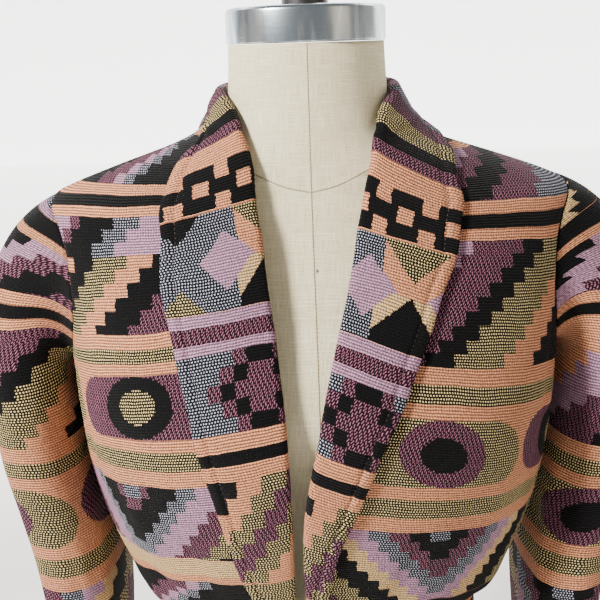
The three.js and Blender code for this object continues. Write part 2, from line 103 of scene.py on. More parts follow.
# A collar half from the centre back to the hem: direction and height of its roll line, the same
# of its outer edge, depth of the under layer, arch of the fall.
COLLAR_LEFT = (
    (180, 898, 180, 843, 32, 4), (150, 897, 149, 844, 31, 4), (120, 895, 118, 849, 29, 5),
    (93, 893, 91, 863, 26, 3.5), (70, 888, 77, 866, 23, 3), (52, 879, 67, 859, 20, 2.5),
    (38, 864, 61, 845, 20, 2), (28, 844, 55.5, 829, 20, 2), (23.5, 822, 51, 812, 20, 2),
    (18.5, 796, 46.5, 790, 20, 2), (15, 768, 43, 765, 20, 2), (12.2, 742, 38.5, 740, 20, 2),
    (10.3, 716, 34.5, 714, 20, 2), (8.8, 690, 31, 688, 20, 2), (8.1, 662, 28.7, 660, 20, 2),
    (7.9, 630, 26.3, 628, 20, 2), (8.2, 596, 24.8, 594, 20, 2), (8.8, 560, 23.5, 559, 20, 1.5),
    (9.3, 524, 20.5, 524, 18, 1), (9.8, 494, 17.5, 494, 16, 0.5),
)
COLLAR_RIGHT = (
    (180, 898, 180, 843, 32, 4), (150, 897, 149, 843, 31, 4), (120, 895, 118, 847, 29, 5),
    (93, 893, 95, 854, 26, 4), (70, 887, 84, 852, 23, 3), (50, 878, 73, 848, 20, 3),
    (36, 862, 64, 840, 20, 2), (28, 842, 56, 829, 20, 2), (22, 824, 51, 814, 20, 2),
    (16.5, 802, 46.5, 798, 20, 2), (12.5, 780, 41.5, 778, 20, 2), (9, 758, 35, 757, 20, 2),
    (5.6, 735, 29.5, 734, 20, 2), (2.9, 713, 24, 711, 20, 2), (0.6, 690, 19.5, 688, 20, 2),
    (-1.3, 664, 14.5, 663, 19, 1.5), (-3.4, 638, 11, 638, 18, 1), (-5, 612, 7.5, 612, 17, 1),
    (-5.8, 586, 4, 586, 16, 0.5), (-6.2, 554, 1.5, 554, 15, 0.5), (-6.4, 522, 0, 522, 14, 0.5),
    (-6.4, 494, -1, 494, 13, 0.5),
)

# The collar on the front: gap under it, lift of its outer edge, radius of its roll, how far
# inside the roll line the front's hidden edge lies, and half the gap at the back in degrees.
LAP = 1.1
EDGE_LIFT = 1.7
FOLD_RADIUS = 3.4
FRONT_SETBACK = 8.0
BACK_GAP = 0.3

# Creases follow the collar's outer edge from this row and below this height. Above it they keep
# clear of this direction.
EDGE_ROW = 6
EDGE_TOP = 840.0
EDGE_TURN = 60.0

# Length of cloth from the shoulder down to each height of the body.
CLOTH_LENGTH = ((869, -62), (840, 0), (820, 32), (800, 58), (780, 81), (740, 126), (700, 168),
                (600, 270), (500, 377), (476, 402))

# How far from the centre the weft runs level, on a front and on the back. It falls outwards.
GRAIN_X = 100.0
BACK_LEVEL = 90.0

# Fall of the weft for each millimetre outwards, at the shoulder and lower down, and between
# which lengths of cloth it changes.
WEFT_FALL = (0.05, 0.17)
FALL_CHANGE = (40, 140)

# Soft creases in the body: direction and height of both ends, half width, depth (a ridge is plus).
CREASES = (
    (-70, 700, -60, 575, 9, -2.4), (-79, 655, -74, 545, 7, 2.2), (-52, 640, -44, 520, 11, 2.0),
    (-63, 560, -36, 512, 7, -1.6), (-64, 770, -71, 716, 8, -2.0), (-38, 600, -33, 520, 8, -1.4),
    (66, 712, 57, 590, 10, -2.2), (78, 640, 70, 540, 8, 2.0), (48, 640, 40, 528, 12, 1.8),
    (60, 560, 30, 508, 7, -1.5), (62, 775, 70, 722, 9, -1.8), (26, 590, 22, 515, 8, -1.3),
    (112, 730, 124, 610, 11, -2.2), (128, 660, 133, 530, 9, 2.0), (150, 700, 147, 560, 12, -1.6),
    (178, 620, 171, 520, 10, 2.2), (196, 690, 203, 575, 11, -1.8), (222, 640, 216, 530, 8, 2.3),
    (246, 735, 236, 640, 10, -2.1), (160, 560, 152, 505, 6, 1.5), (208, 570, 214, 500, 6, -1.6),
    (140, 800, 158, 770, 14, -1.2), (216, 796, 203, 768, 12, -1.3),
)

# Millimetres of cloth in one degree round the body, on average.
DEGREE = 2.7

# Gathers into the waistband: direction, half width in degrees, height, reach above the hem.
GATHERS = (
    (31, 3.1, 1.8, 40), (42, 3.6, 3.0, 66), (53, 3.2, 2.2, 48), (63, 4.0, 3.2, 80), (75, 3.4, 2.0, 42),
    (86, 3.9, 3.1, 70), (98, 3.3, 2.3, 52), (109, 4.1, 3.3, 84), (122, 3.5, 2.4, 50),
    (133, 3.8, 3.0, 72), (145, 3.2, 1.9, 38), (156, 4.0, 3.1, 78), (169, 3.4, 2.5, 54),
    (181, 3.9, 3.2, 88), (193, 3.3, 2.1, 44), (204, 4.0, 3.0, 74), (217, 3.5, 2.6, 56),
    (229, 3.8, 3.3, 82), (241, 3.2, 2.0, 40), (252, 4.1, 3.1, 76), (264, 3.4, 2.4, 50),
    (276, 3.8, 3.2, 72), (287, 3.2, 1.9, 44), (298, 4.0, 3.1, 80), (309, 3.4, 2.3, 48),
    (319, 3.6, 2.7, 62), (330, 3.0, 1.7, 36),
)


def lerp(a, b, t):
    return a + (b - a) * t


def ease(low, high, value):
    t = min(max((value - low) / (high - low), 0), 1)
    return t * t * (3 - 2 * t)


def bell(far, width=1.0):
    return math.exp(-(far / width) ** 2)


def smooth(rows, column, at, key=0):
    """Smooth value of a column where the rows are placed by their key column."""
    rising = 1 if rows[1][key] > rows[0][key] else -1
    last = len(rows) - 1
    place = min(max(at * rising, rows[0][key] * rising), rows[last][key] * rising)
    i = 0
    while i < last - 1 and rows[i + 1][key] * rising <= place:
        i += 1

    def slope(k):
        a, b = rows[max(k - 1, 0)], rows[min(k + 1, last)]
        return (b[column] - a[column]) / ((b[key] - a[key]) * rising)

    span = (rows[i + 1][key] - rows[i][key]) * rising
    t = (place - rows[i][key] * rising) / span
    blend = t * t * (3 - 2 * t)
    start = t * (1 - t) ** 2 * span
    end = t * t * (t - 1) * span
    return lerp(rows[i][column], rows[i + 1][column], blend) + slope(i) * start + slope(i + 1) * end


@lru_cache(maxsize=None)
def cut_at(rows, half_mm):
    """Half width, front depth, back depth, middle and squareness at a half millimetre."""
    half, front, back, mid, square = (smooth(rows, c, half_mm / 2) for c in range(1, 6))
    return half, front + mid, back - mid, mid, square


def section(rows, z):
    place = min(max(z, rows[0][0]), rows[-1][0]) * 2
    low = math.floor(place)
    t = place - low
    return tuple(lerp(a, b, t) for a, b in zip(cut_at(rows, low), cut_at(rows, low + 1)))


def on_section(rows, z, degrees):
    """Point of a section in a direction round the body: 0 front, 90 its +X side, 180 back."""
    half, front, back, mid, square = section(rows, z)
    across, ahead = math.sin(math.radians(degrees)), math.cos(math.radians(degrees))
    depth = front if ahead > 0 else back
    reach = (abs(across / half) ** square + abs(ahead / depth) ** square) ** (-1 / square)
    return Vector((reach * across, mid - reach * ahead, z))


def off_section(rows, z, degrees, out):
    """The same point moved out along the surface's normal."""
    around = on_section(rows, z, degrees + 2) - on_section(rows, z, degrees - 2)
    upward = on_section(rows, z + 1.5, degrees) - on_section(rows, z - 1.5, degrees)
    return on_section(rows, z, degrees) + around.cross(upward).normalized() * out


def direction_at(z, y, side):
    """Direction in which the jacket has the given y, on its front (0) or its back (1) half."""
    half, front, back, mid, square = section(JACKET, z)
    share = min(abs(y - mid) / (back if side else front), 1)
    return math.degrees(math.atan2(half * (1 - share ** square) ** (1 / square), mid - y))


def side_edge(z, side):
    """Direction of the armhole's edge, or of the side and shoulder seams."""
    if z <= UNDERARM or z >= SHOULDER_TIP:
        return 90.0
    return direction_at(z, smooth(ARMHOLE, 1 + side, z), side)


def seam_turn(z):
    return math.degrees(SEAM / 2 / section(JACKET, z)[0])


# One place down a collar half: the columns of its table, and the width from roll to edge.
Station = namedtuple("Station", "roll_turn roll_z edge_turn edge_z under arch width")


def path_place(station, share):
    """Height and direction at a share of the way from the roll line to the outer edge."""
    z = lerp(station.roll_z, station.edge_z, share)
    return z, lerp(station.roll_turn, station.edge_turn, share)


def collar_station(rows, step):
    keyed = tuple((i, *row) for i, row in enumerate(rows))
    station = Station(*(smooth(keyed, c, step) for c in range(1, 7)), 0.0)
    points = [on_section(JACKET, *path_place(station, share)) for share in (0, 0.5, 1)]
    return station._replace(width=(points[1] - points[0]).length + (points[2] - points[1]).length)


@lru_cache(maxsize=None)
def front_edge(collar):
    """Heights and directions of a front's hidden edge, set back from the roll line."""
    stations = [collar_station(collar, i) for i in range(len(collar))]
    return tuple(path_place(s, FRONT_SETBACK / s.width) for s in stations)


def crease(z, degrees):
    """Height of the listed creases at a point of the body."""
    turn = degrees % 360
    total = 0
    for start, start_z, end, end_z, width, depth in CREASES:
        along = Vector(((end - start) * DEGREE, end_z - start_z))
        away = (turn - start % 360 + 180) % 360 - 180
        point = Vector((away * DEGREE, z - start_z))
        t = min(max(point.dot(along) / along.length_squared, 0), 1)
        far = (point - along * t).length / (width * (0.7 + 0.6 * t))
        if far < 3:
            total += depth * bell(far) * math.sin(math.pi * (0.15 + 0.7 * t))
    return total


def gather(z, degrees):
    turn = degrees % 360
    total = 0
    for centre, width, height, reach in GATHERS:
        up = (z - HEM) / reach
        if up < 1:
            total += height * bell(turn - centre, width * (1 + 0.5 * up)) * (1 - up) ** 1.6
    return total


def body_drape(z, degrees):
    """Gathers and creases, which fade towards the collar."""
    turn = (degrees + 180) % 360 - 180
    collar = COLLAR_LEFT if turn < 0 else COLLAR_RIGHT
    edge = smooth(collar[EDGE_ROW:], 2, z, key=3) if z < EDGE_TOP else EDGE_TURN
    away = ease(edge + 1, edge + 13, abs(turn))
    return away * (crease(z, degrees) + gather(z, degrees) - 0.6 * ease(HEM + 40, HEM, z))


def body_point(z, degrees, out):
    return off_section(JACKET, z, degrees, out + body_drape(z, degrees))


def shade_smooth(mesh):
    for face in mesh.faces:
        face.smooth = True


def cloth_grid(columns, rows, place, tube=False):
    """A grid moved onto its form, where place(across, along) gives a point and its weave u, v."""
    mesh = bmesh.new()
    bmesh.ops.create_grid(mesh, x_segments=columns, y_segments=rows, size=0.5)
    layer = mesh.loops.layers.uv.new("weave")
    weave = {}
    for vert in mesh.verts:
        point, u, v = place(min(max(vert.co.x + 0.5, 0), 1), min(max(vert.co.y + 0.5, 0), 1))
        vert.co = point * MM
        weave[vert.index] = (u, v)
    for face in mesh.faces:
        for loop in face.loops:
            loop[layer].uv = weave[loop.vert.index]
    shade_smooth(mesh)
    if tube:
        bmesh.ops.remove_doubles(mesh, verts=mesh.verts, dist=1e-5)
    return mesh


def into_scene(name, mesh, material):
    data = bpy.data.meshes.new(name)
    mesh.to_mesh(data)
    mesh.free()
    data.materials.append(material)
    thing = bpy.data.objects.new(name, data)
    bpy.context.scene.collection.objects.link(thing)
    return thing


def finish_mesh(name, mesh, material, node=None, slot=None):
    """A piece that rides on the one body, and may stand for a node."""
    piece = into_scene(name, mesh, material)
    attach(piece, "root")
    if node:
        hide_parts(node)
    return piece


def thicken(piece, wall, offset=-1.0):
    solid = piece.modifiers.new("wall", "SOLIDIFY")
    solid.thickness = wall * MM
    solid.offset = offset
    solid.use_even_offset = False


def outward(mesh, middle):
    """Turns all faces over if they look towards the given middle."""
    total = sum((f.calc_center_median() - middle).dot(f.normal) * f.calc_area() for f in mesh.faces)
    if total < 0:
        bmesh.ops.reverse_faces(mesh, faces=mesh.faces)


def running_lengths(points):
    lengths = [0.0]
    for a, b in zip(points, points[1:]):
        lengths.append(lengths[-1] + (b - a).length)
    return lengths


# Steps of the table of lengths round half the body.
HALF_STEPS = 60


@lru_cache(maxsize=None)
def arc_table(z):
    """Lengths round half the body from the front centre, and the length to where weft is level."""
    points = [on_section(JACKET, z, 180 / HALF_STEPS * k) for k in range(HALF_STEPS + 1)]
    lengths = running_lengths(points)
    side = HALF_STEPS // 2
    grain = next((k for k in range(side + 1) if points[k].x >= GRAIN_X), side)
    before = points[grain - 1].x
    share = min((GRAIN_X - before) / max(points[grain].x - before, 1e-6), 1)
    return lengths, lerp(lengths[grain - 1], lengths[grain], share)


def arc(z, degrees):
    lengths, grain = arc_table(z)
    turn = abs((degrees + 180) % 360 - 180) / 180 * HALF_STEPS
    k = min(int(turn), HALF_STEPS - 1)
    return lerp(lengths[k], lengths[k + 1], turn - k), grain


def cloth_v(z, past_grain):
    """Length of cloth above a point. The weft hangs lower towards the sides."""
    for (high, a), (low, b) in zip(CLOTH_LENGTH, CLOTH_LENGTH[1:]):
        if z >= low:
            down = lerp(a, b, (high - z) / (high - low))
            return down - past_grain * lerp(*WEFT_FALL, ease(*FALL_CHANGE, down))
    return CLOTH_LENGTH[-1][1]


# Heights of a body panel's rows, closer together where the armhole turns, and its columns.
ROW_SPANS = ((HEM, 690, 78), (690, 702, 8), (702, 806, 40), (806, 818, 8), (818, NECKLINE, 36))
PANEL_ROWS = [HEM] + [lerp(a, b, (k + 1) / n) for a, b, n in ROW_SPANS for k in range(n)]
FRONT_COLUMNS = 70
BACK_COLUMNS = 150

# Points in metres that lie inside the body of the jacket, its right sleeve and its waistband.
BODY_MIDDLE = Vector((0, 0, 0.66))
SLEEVE_MIDDLE = Vector((0.21, -0.01, 0.5))
BAND_MIDDLE = Vector((0, 0, 0.466))


def seam_dip(gap):
    """Cloth sinks a little along a seam."""
    return -0.9 * bell(gap, 2.4)


def body_panel(columns, edges, is_back):
    """A panel of the body between two directions, given at each height."""
    def place(across, along):
        z = PANEL_ROWS[round(along * (len(PANEL_ROWS) - 1))]
        start, end = edges(z)
        degrees = lerp(start, end, across)
        length, grain = arc(z, degrees)
        width = abs(end - start) * DEGREE
        dip = seam_dip((1 - across) * width)
        if is_back:
            dip += seam_dip(across * width)
            far = arc(z, 180)[0] - length
            u = far if degrees < 180 else -far
            fall = abs(far) - BACK_LEVEL
        else:
            fall = length - grain
            u = fall if degrees > 0 else -fall
        if z > SHOULDER_TIP:
            dip += seam_dip((NECKLINE - z) * 1.5)
        return body_point(z, degrees, dip), u, cloth_v(z, fall)

    mesh = cloth_grid(columns, len(PANEL_ROWS) - 1, place)
    outward(mesh, BODY_MIDDLE)
    return mesh


def front_panel(collar, side):
    hidden = front_edge(collar)

    def edges(z):
        return side * smooth(hidden, 1, z), side * (side_edge(z, 0) - seam_turn(z))

    return body_panel(FRONT_COLUMNS, edges, False)


def back_panel():
    def edges(z):
        edge = side_edge(z, 1) + seam_turn(z)
        return edge, 360 - edge

    return body_panel(BACK_COLUMNS, edges, True)


# Armhole round one sleeve: rows of its front going up, then of its back coming down.
LOOP = [(z, 0) for z, _, _ in ARMHOLE] + [(z, 1) for z, _, _ in ARMHOLE[-2:0:-1]]


def armhole_at(share):
    """Height and direction of the armhole's edge at a share of the way round it."""
    place = (share % 1) * len(LOOP)
    i = int(place)
    t = place - i
    a, b, c, d = (LOOP[(i + k) % len(LOOP)][0] for k in (-1, 0, 1, 2))
    z = lerp(b, c, t * t * (3 - 2 * t)) + (c - a) / 2 * t * (1 - t) ** 2 + (d - b) / 2 * t * t * (t - 1)
    z = min(max(z, UNDERARM + 0.01), SHOULDER_TIP - 0.01)
    return z, side_edge(z, 0 if place < len(ARMHOLE) - 1 else 1)


def sleeve_oval(z, turn):
    x, y, half, deep = (smooth(SLEEVE, c, z) for c in range(1, 5))
    across, along = math.cos(math.radians(turn)), math.sin(math.radians(turn))
    bend = [math.copysign(abs(v) ** (2 / SLEEVE_SQUARE), v) for v in (across, along)]
    return Vector((x + half * bend[0], y + deep * bend[1], z))


@lru_cache(maxsize=None)
def sleeve_column(share):
    """The start, the end, the way out and the way down of one column of the sleeve head."""
    z, degrees = armhole_at(share)
    start = body_point(z, degrees, 0.0)
    inward = Vector((0, ARMHOLE_MIDDLE[0] - start.y, ARMHOLE_MIDDLE[1] - start.z)).normalized()
    away = (Vector((1, 0, 0)) + inward * HEAD_CLOSE).normalized()
    start = start + away * SEAM
    turn = 180 + share * 360
    end = sleeve_oval(SLEEVE[0][0], turn)
    down = (sleeve_oval(SLEEVE[1][0], turn) - end).normalized()
    return start, end, away, down, HEAD_PULL * (end - start).length


# Sleeve folds: share round, length down at both ends, half width in shares, height.
SLEEVE_FOLDS = (
    (0.10, 30, 0.14, 300, 0.030, 2.6), (0.22, 90, 0.20, 420, 0.024, -2.4),
    (0.33, 10, 0.36, 190, 0.034, 2.8), (0.44, 150, 0.41, 480, 0.022, 2.2),
    (0.52, 30, 0.55, 230, 0.030, -2.6), (0.63, 120, 0.60, 430, 0.026, 2.5),
    (0.72, 20, 0.76, 260, 0.032, 2.9), (0.83, 170, 0.80, 500, 0.022, -2.2),
    (0.93, 60, 0.90, 330, 0.028, 2.4), (0.02, 230, 0.05, 520, 0.024, 2.0),
    (0.28, 300, 0.31, 560, 0.022, 1.8), (0.69, 330, 0.66, 560, 0.02, -1.7),
)
# Cross creases at the elbow and the underarm: share and length down at both ends, width, height.
SLEEVE_CREASES = (
    (0.05, 268, 0.20, 290, 9, -2.6), (0.16, 312, 0.34, 296, 8, 2.2), (0.38, 330, 0.22, 352, 8, -2.2),
    (0.55, 276, 0.68, 300, 9, 2.3), (0.78, 262, 0.62, 318, 8, -2.0), (0.94, 300, 0.80, 282, 9, 2.4),
    (0.02, 92, 0.14, 130, 10, -2.4), (0.90, 84, 0.97, 140, 9, 2.2), (0.46, 452, 0.60, 470, 8, -1.6),
    (0.12, 440, 0.28, 462, 9, 1.7), (0.30, 506, 0.46, 520, 7, 1.4), (0.72, 470, 0.88, 492, 8, -1.5),
)

# Lengths down a sleeve between which the folds begin under its head and end above its hem.
FOLDS_BEGIN = (-70, 10)
FOLDS_END = (393, 375)

# Length of cloth round a sleeve at its first oval, and the columns and rows of its grid.
SLEEVE_ROUND = 236.0
SLEEVE_COLUMNS = 96
SLEEVE_HEAD_ROWS = 34
SLEEVE_ROWS = 190


def sleeve_fold(share, down):
    total = 0
    for start, from_down, end, to_down, width, height in SLEEVE_FOLDS:
        t = (down - from_down) / (to_down - from_down)
        if 0 < t < 1:
            away = (share - lerp(start, end, t) + 0.5) % 1 - 0.5
            total += height * bell(away, width * (0.8 + 0.5 * t)) * math.sin(math.pi * t) ** 0.7
    for start, from_down, end, to_down, width, height in SLEEVE_CREASES:
        line = Vector(((end - start) * SLEEVE_ROUND, to_down - from_down))
        point = Vector((((share - start + 0.5) % 1 - 0.5) * SLEEVE_ROUND, down - from_down))
        t = min(max(point.dot(line) / line.length_squared, 0), 1)
        far = (point - line * t).length / width
        if far < 3:
            total += height * bell(far) * math.sin(math.pi * (0.12 + 0.76 * t))
    return total


def sleeve_width(down):
    """Width of a sleeve at a length down it, against its first oval."""
    return smooth(SLEEVE, 4, SLEEVE[0][0] - max(down, 0)) / SLEEVE[0][4]


def sleeve_mesh(side):
    """A sleeve hangs from its armhole; a point's length down starts at the first oval."""
    top, bottom = SLEEVE[0][0], SLEEVE[-1][0]

    def place(across, along):
        row = round(along * SLEEVE_ROWS)
        if row < SLEEVE_HEAD_ROWS:
            start, end, away, down, pull = sleeve_column(across)
            t = row / SLEEVE_HEAD_ROWS
            point = start.lerp(end, t * t * (3 - 2 * t))
            point += away * (t * (1 - t) ** 2 * pull) + down * (t * t * (t - 1) * pull)
            length = -(1 - t) * pull / HEAD_PULL * HEAD_LONGER
        else:
            z = lerp(top, bottom, (row - SLEEVE_HEAD_ROWS) / (SLEEVE_ROWS - SLEEVE_HEAD_ROWS))
            point = sleeve_oval(z, 180 + across * 360)
            length = top - z
        u = (across - 0.5) * SLEEVE_ROUND * sleeve_width(length)
        return Vector((side * point.x, point.y, point.z)), u * side, length

    mesh = cloth_grid(SLEEVE_COLUMNS, SLEEVE_ROWS, place, tube=True)
    outward(mesh, SLEEVE_MIDDLE * Vector((side, 1, 1)))
    mesh.normal_update()
    layer = mesh.loops.layers.uv.active
    for vert in mesh.verts:
        u, down = vert.link_loops[0][layer].uv
        share = (u * side / (SLEEVE_ROUND * sleeve_width(down)) + 0.5) % 1
        height = sleeve_fold(share, down) * ease(*FOLDS_BEGIN, down) * ease(*FOLDS_END, down)
        vert.co += vert.normal * height * MM
    return mesh


# The collar's grid, and its topstitching: distance from the edge, depth and width of the groove
# that it draws, and height, width and distance of the swell outside it.
COLLAR_COLUMNS = 52
COLLAR_ROWS = 210
TOPSTITCH = 8.5
GROOVE = (-1.15, 1.8)
SWELL = (0.6, 2.6)
SWELL_OUT = 4.2


def collar_frame(station, side):
    """Lengths of a collar's under layer, fold and fall, and the point at a length across it."""
    half = COLLAR / 2
    lower = -(CLOTH + LAP + half)
    fold = FOLD_RADIUS + half
    middle = lower + FOLD_RADIUS
    under = station.under - fold
    turn = math.pi * FOLD_RADIUS
    fall = station.width - fold

    def at(length, lift=0.0):
        if length < under:
            distance, height = station.under - length, lower
        elif length < under + turn:
            angle = (length - under) / FOLD_RADIUS
            distance = fold - FOLD_RADIUS * math.sin(angle)
            height = middle - FOLD_RADIUS * math.cos(angle)
        else:
            share = (length - under - turn) / fall
            distance = lerp(fold, station.width, share)
            height = lerp(middle + FOLD_RADIUS, EDGE_LIFT + half, share)
            height += 4 * share * (1 - share) * station.arch
            inside = (1 - share) * fall - TOPSTITCH
            height += GROOVE[0] * bell(inside, GROOVE[1])
            height += SWELL[0] * bell(inside + SWELL_OUT, SWELL[1])
        z, degrees = path_place(station, distance / station.width)
        return off_section(JACKET, max(z, HEM + SEAM), side * degrees, height + lift)

    return under, turn, fall, at


@lru_cache(maxsize=None)
def collar_rows(collar):
    """Stations down a collar half, with the length of the roll line to each."""
    last = len(collar) - 1
    stations = [collar_station(collar, k / COLLAR_ROWS * last) for k in range(COLLAR_ROWS + 1)]
    first = stations[0]
    stations[0] = first._replace(roll_turn=first.roll_turn - BACK_GAP,
                                 edge_turn=first.edge_turn - BACK_GAP)
    middles = [on_section(JACKET, *path_place(station, 0.45)) for station in stations]
    return list(zip(stations, running_lengths(middles)))


def collar_mesh(collar, side, tilt):
    """The weft of each half tilts down from its roll line to its outer edge."""
    rows = collar_rows(collar)

    def place(across, along):
        station, length = rows[round(along * COLLAR_ROWS)]
        under, turn, fall, at = collar_frame(station, side)
        span = across * (under + turn + fall)
        far = span - under - turn / 2
        return at(span), side * far, length - tilt * far

    mesh = cloth_grid(COLLAR_COLUMNS, COLLAR_ROWS, place)
    bmesh.ops.recalc_face_normals(mesh, faces=mesh.faces)
    return mesh


# The waistband: its heights, wall, ease over the form, the direction where it starts, the lap of
# its ends in degrees, and how far the upper end lies over the lower one.
BAND_TOP = HEM - SEAM
BAND_BOTTOM = 444.0
BAND_WALL = 3.0
BAND_EASE = 2.2
BAND_START = -6
BAND_LAP = 14
BAND_LIFT = 4

# Length and height of the waistband's cloth, how far down the back's chart it is cut, its grid,
# and the heights of its two rows of stitches.
BAND_LENGTH = 800
BAND_HEIGHT = 44
BAND_CHART = 400
BAND_COLUMNS = 300
BAND_ROWS = 26
BAND_STITCHES = (("band_stitches_top", 483.1), ("band_stitches_bottom", 448.5))


def band_place(share):
    """Direction and lift at a share of the waistband's length."""
    return BAND_START - share * (360 + BAND_LAP), ease(0.86, 0.95, share) * BAND_LIFT


def band_point(z, degrees, out):
    return off_section(TORSO, z, degrees, BAND_EASE + BAND_WALL + out)


def waistband_mesh():
    def place(across, along):
        degrees, lift = band_place(across)
        edge = min(along, 1 - along) * (BAND_TOP - BAND_BOTTOM)
        soft = -0.8 * bell(edge, 1.6) - 0.45 * bell(edge - 4.5, 1.1)
        point = band_point(lerp(BAND_BOTTOM, BAND_TOP, along), degrees, lift + soft)
        return point, -across * BAND_LENGTH, BAND_CHART + (1 - along) * BAND_HEIGHT

    mesh = cloth_grid(BAND_COLUMNS, BAND_ROWS, place)
    outward(mesh, BAND_MIDDLE)
    return mesh


def turned(profile, segments, ring=False):
    """A solid of revolution about Z from (radius, height) pairs, from axis to axis or a closed ring."""
    mesh = bmesh.new()
    verts = [mesh.verts.new((r * MM, 0, z * MM)) for r, z in profile]
    nexts = verts[1:] + verts[:1] if ring else verts[1:]
    edges = [mesh.edges.new(pair) for pair in zip(verts, nexts)]
    bmesh.ops.spin(mesh, geom=verts + edges, cent=(0, 0, 0), axis=(0, 0, 1),
                   angle=2 * math.pi, steps=segments, use_merge=True)
    bmesh.ops.remove_doubles(mesh, verts=mesh.verts, dist=1e-6)
    bmesh.ops.recalc_face_normals(mesh, faces=mesh.faces)
    shade_smooth(mesh)
    return mesh


def soften(piece, width):
    bevel = piece.modifiers.new("edges", "BEVEL")
    bevel.width = width * MM
    bevel.segments = 3
    bevel.limit_method = "ANGLE"
    bevel.angle_limit = math.radians(30)
    bevel.harden_normals = True


def add(tree, kind, settings=None, links=None, stops=()):
    """Adds a node with its settings. A link is a socket or a plain value for an input, and the
    stops of a colour ramp are pairs of place and colour, after the way it goes between them."""
    node = tree.nodes.new("ShaderNode" + kind)
    for name, value in (settings or {}).items():
        setattr(node, name, value)
    for name, source in (links or {}).items():
        if isinstance(source, bpy.types.NodeSocket):
            tree.links.new(source, node.inputs[name])
        else:
            node.inputs[name].default_value = source
    if stops:
        ramp = node.color_ramp
        ramp.interpolation = stops[0]
        for place, shade in stops[2:]:
            ramp.elements.new(place).color = shade
        ramp.elements[0].position, ramp.elements[0].color = stops[1]
        ramp.elements.remove(ramp.elements[-1])
    return node


def colour(code):
    """A hex sRGB colour as linear values."""
    def linear(c):
        return c / 12.92 if c <= 0.04045 else ((c + 0.055) / 1.055) ** 2.4

    parts = [int(code[k:k + 2], 16) / 255 for k in (1, 3, 5)]
    return (*(linear(c) for c in parts), 1.0)


def new_material(name):
    material = bpy.data.materials.new(name)
    material.use_nodes = True
    material.node_tree.nodes.clear()
    return material, material.node_tree


def finish_material(tree, inputs):
    """The material's shader with its inputs, and the output that it goes to."""
    shader = add(tree, "BsdfPrincipled", None, inputs)
    add(tree, "OutputMaterial", None, {"Surface": shader.outputs["BSDF"]})


def work_out(tree, known, steps):
    """Math nodes one after another: a name, an operation, then values or earlier names."""
    for name, operation, *values in steps:
        links = {k: known.get(value, value) for k, value in enumerate(values)}
        known[name] = add(tree, "Math", {"operation": operation}, links).outputs[0]


FLOAT_MIX = {"data_type": "FLOAT"}
COLOUR_MIX = {"data_type": "RGBA"}

# Yarn effects of the blanket: light thread, ground thread, round beads, slanted floats. The light
# colour on the tops of ribs, beads and floats is partly painted highlight. The dark ground colour
# between them is partly the ground thread and partly painted shade in the grooves.
YARNS = {
    "black": ("#0b0b0e", "#010101", 0, 0),
    "peach": ("#efa67c", "#3a130e", 0, 0),
    "wheat": ("#eac590", "#3f2810", 0, 0),
    "lilac": ("#c298b2", "#33182c", 0, 0),
    "grey": ("#c3c6d6", "#050712", 1, 0),
    "straw": ("#fbe3a2", "#0c0803", 1, 0),
    "plum": ("#a66a83", "#10050a", 0, 1),
}
CODES = {name: (k + 1) / 10 for k, name in enumerate(YARNS)}

# Width in millimetres of a rib, a bead and a float, how far the weft drifts and trembles off its
# chart, and how ragged the steps of its rows are.
RIB = 2.02
BEAD = 2.0
FLOAT = 1.55
DRIFT = 5.0
TREMBLE = (1.2, 0.8)
RAGGED = 1.3

# Reach of a figure's ramps: counted steps, and radii of an eye's ring with its centre's share.
COUNT_REACH = 80.0
EYE_REACH = 4.0
EYE_CENTRE = 0.53

# Charts from the top down. A band has a height in millimetres and a yarn or a figure. A stepped
# figure counts steps from its centre line and its middle row, and lists yarns up to a count. An
# eye lists the yarns of its centre, ring and field, for two eyes in turn.
FRONT_LEFT = {
    "top": 19.5,
    "bands": (
        (9, "peach"), (8, "black"), (9, "peach"),
        (28, {"centre": -170, "half": 26, "step": (10, 9.33), "middle": 0,
              "yarns": ((8.9, "lilac"), (10.9, "plum"), (12.9, "black"), (15.9, "grey"),
                        (18.9, "lilac"), (21.9, "black"), (30, "plum"))}),
        (53, {"centre": -170, "half": 26, "step": (10, 9.33), "middle": -3,
              "yarns": ((8.9, "plum"), (11.9, "peach"), (13.9, "black"), (16.9, "straw"),
                        (18.9, "peach"), (21.9, "black"), (30, "plum"))}),
        (9.5, "peach"), (9.5, "straw"), (10, "peach"),
        (43, {"centre": 107, "turn": 132, "ring": (28.5, 21.5), "field": 38,
              "yarns": (("black", "plum", "straw"), ("straw", "black", "plum"))}),
        (9, "peach"), (14, "straw"), (13, "peach"),
        (66, {"centre": -37, "half": 17, "step": (7.5, 10.5), "middle": 0,
              "yarns": ((1.1, "grey"), (2.1, "plum"), (5.1, "black"), (7.6, "grey"), (10.1, "lilac"),
                        (13.1, "plum"), (15.1, "straw"), (18.1, "black"), (30, "plum"))}),
        (16, "wheat"), (9, "peach"),
        (56, {"centre": -170, "half": 26, "step": (10, 9.33), "middle": 0,
              "yarns": ((15.4, "black"), (16.9, "plum"), (17.9, "lilac"), (19.4, "grey"),
                        (22.9, "black"), (30, "straw"))}),
    ),
}
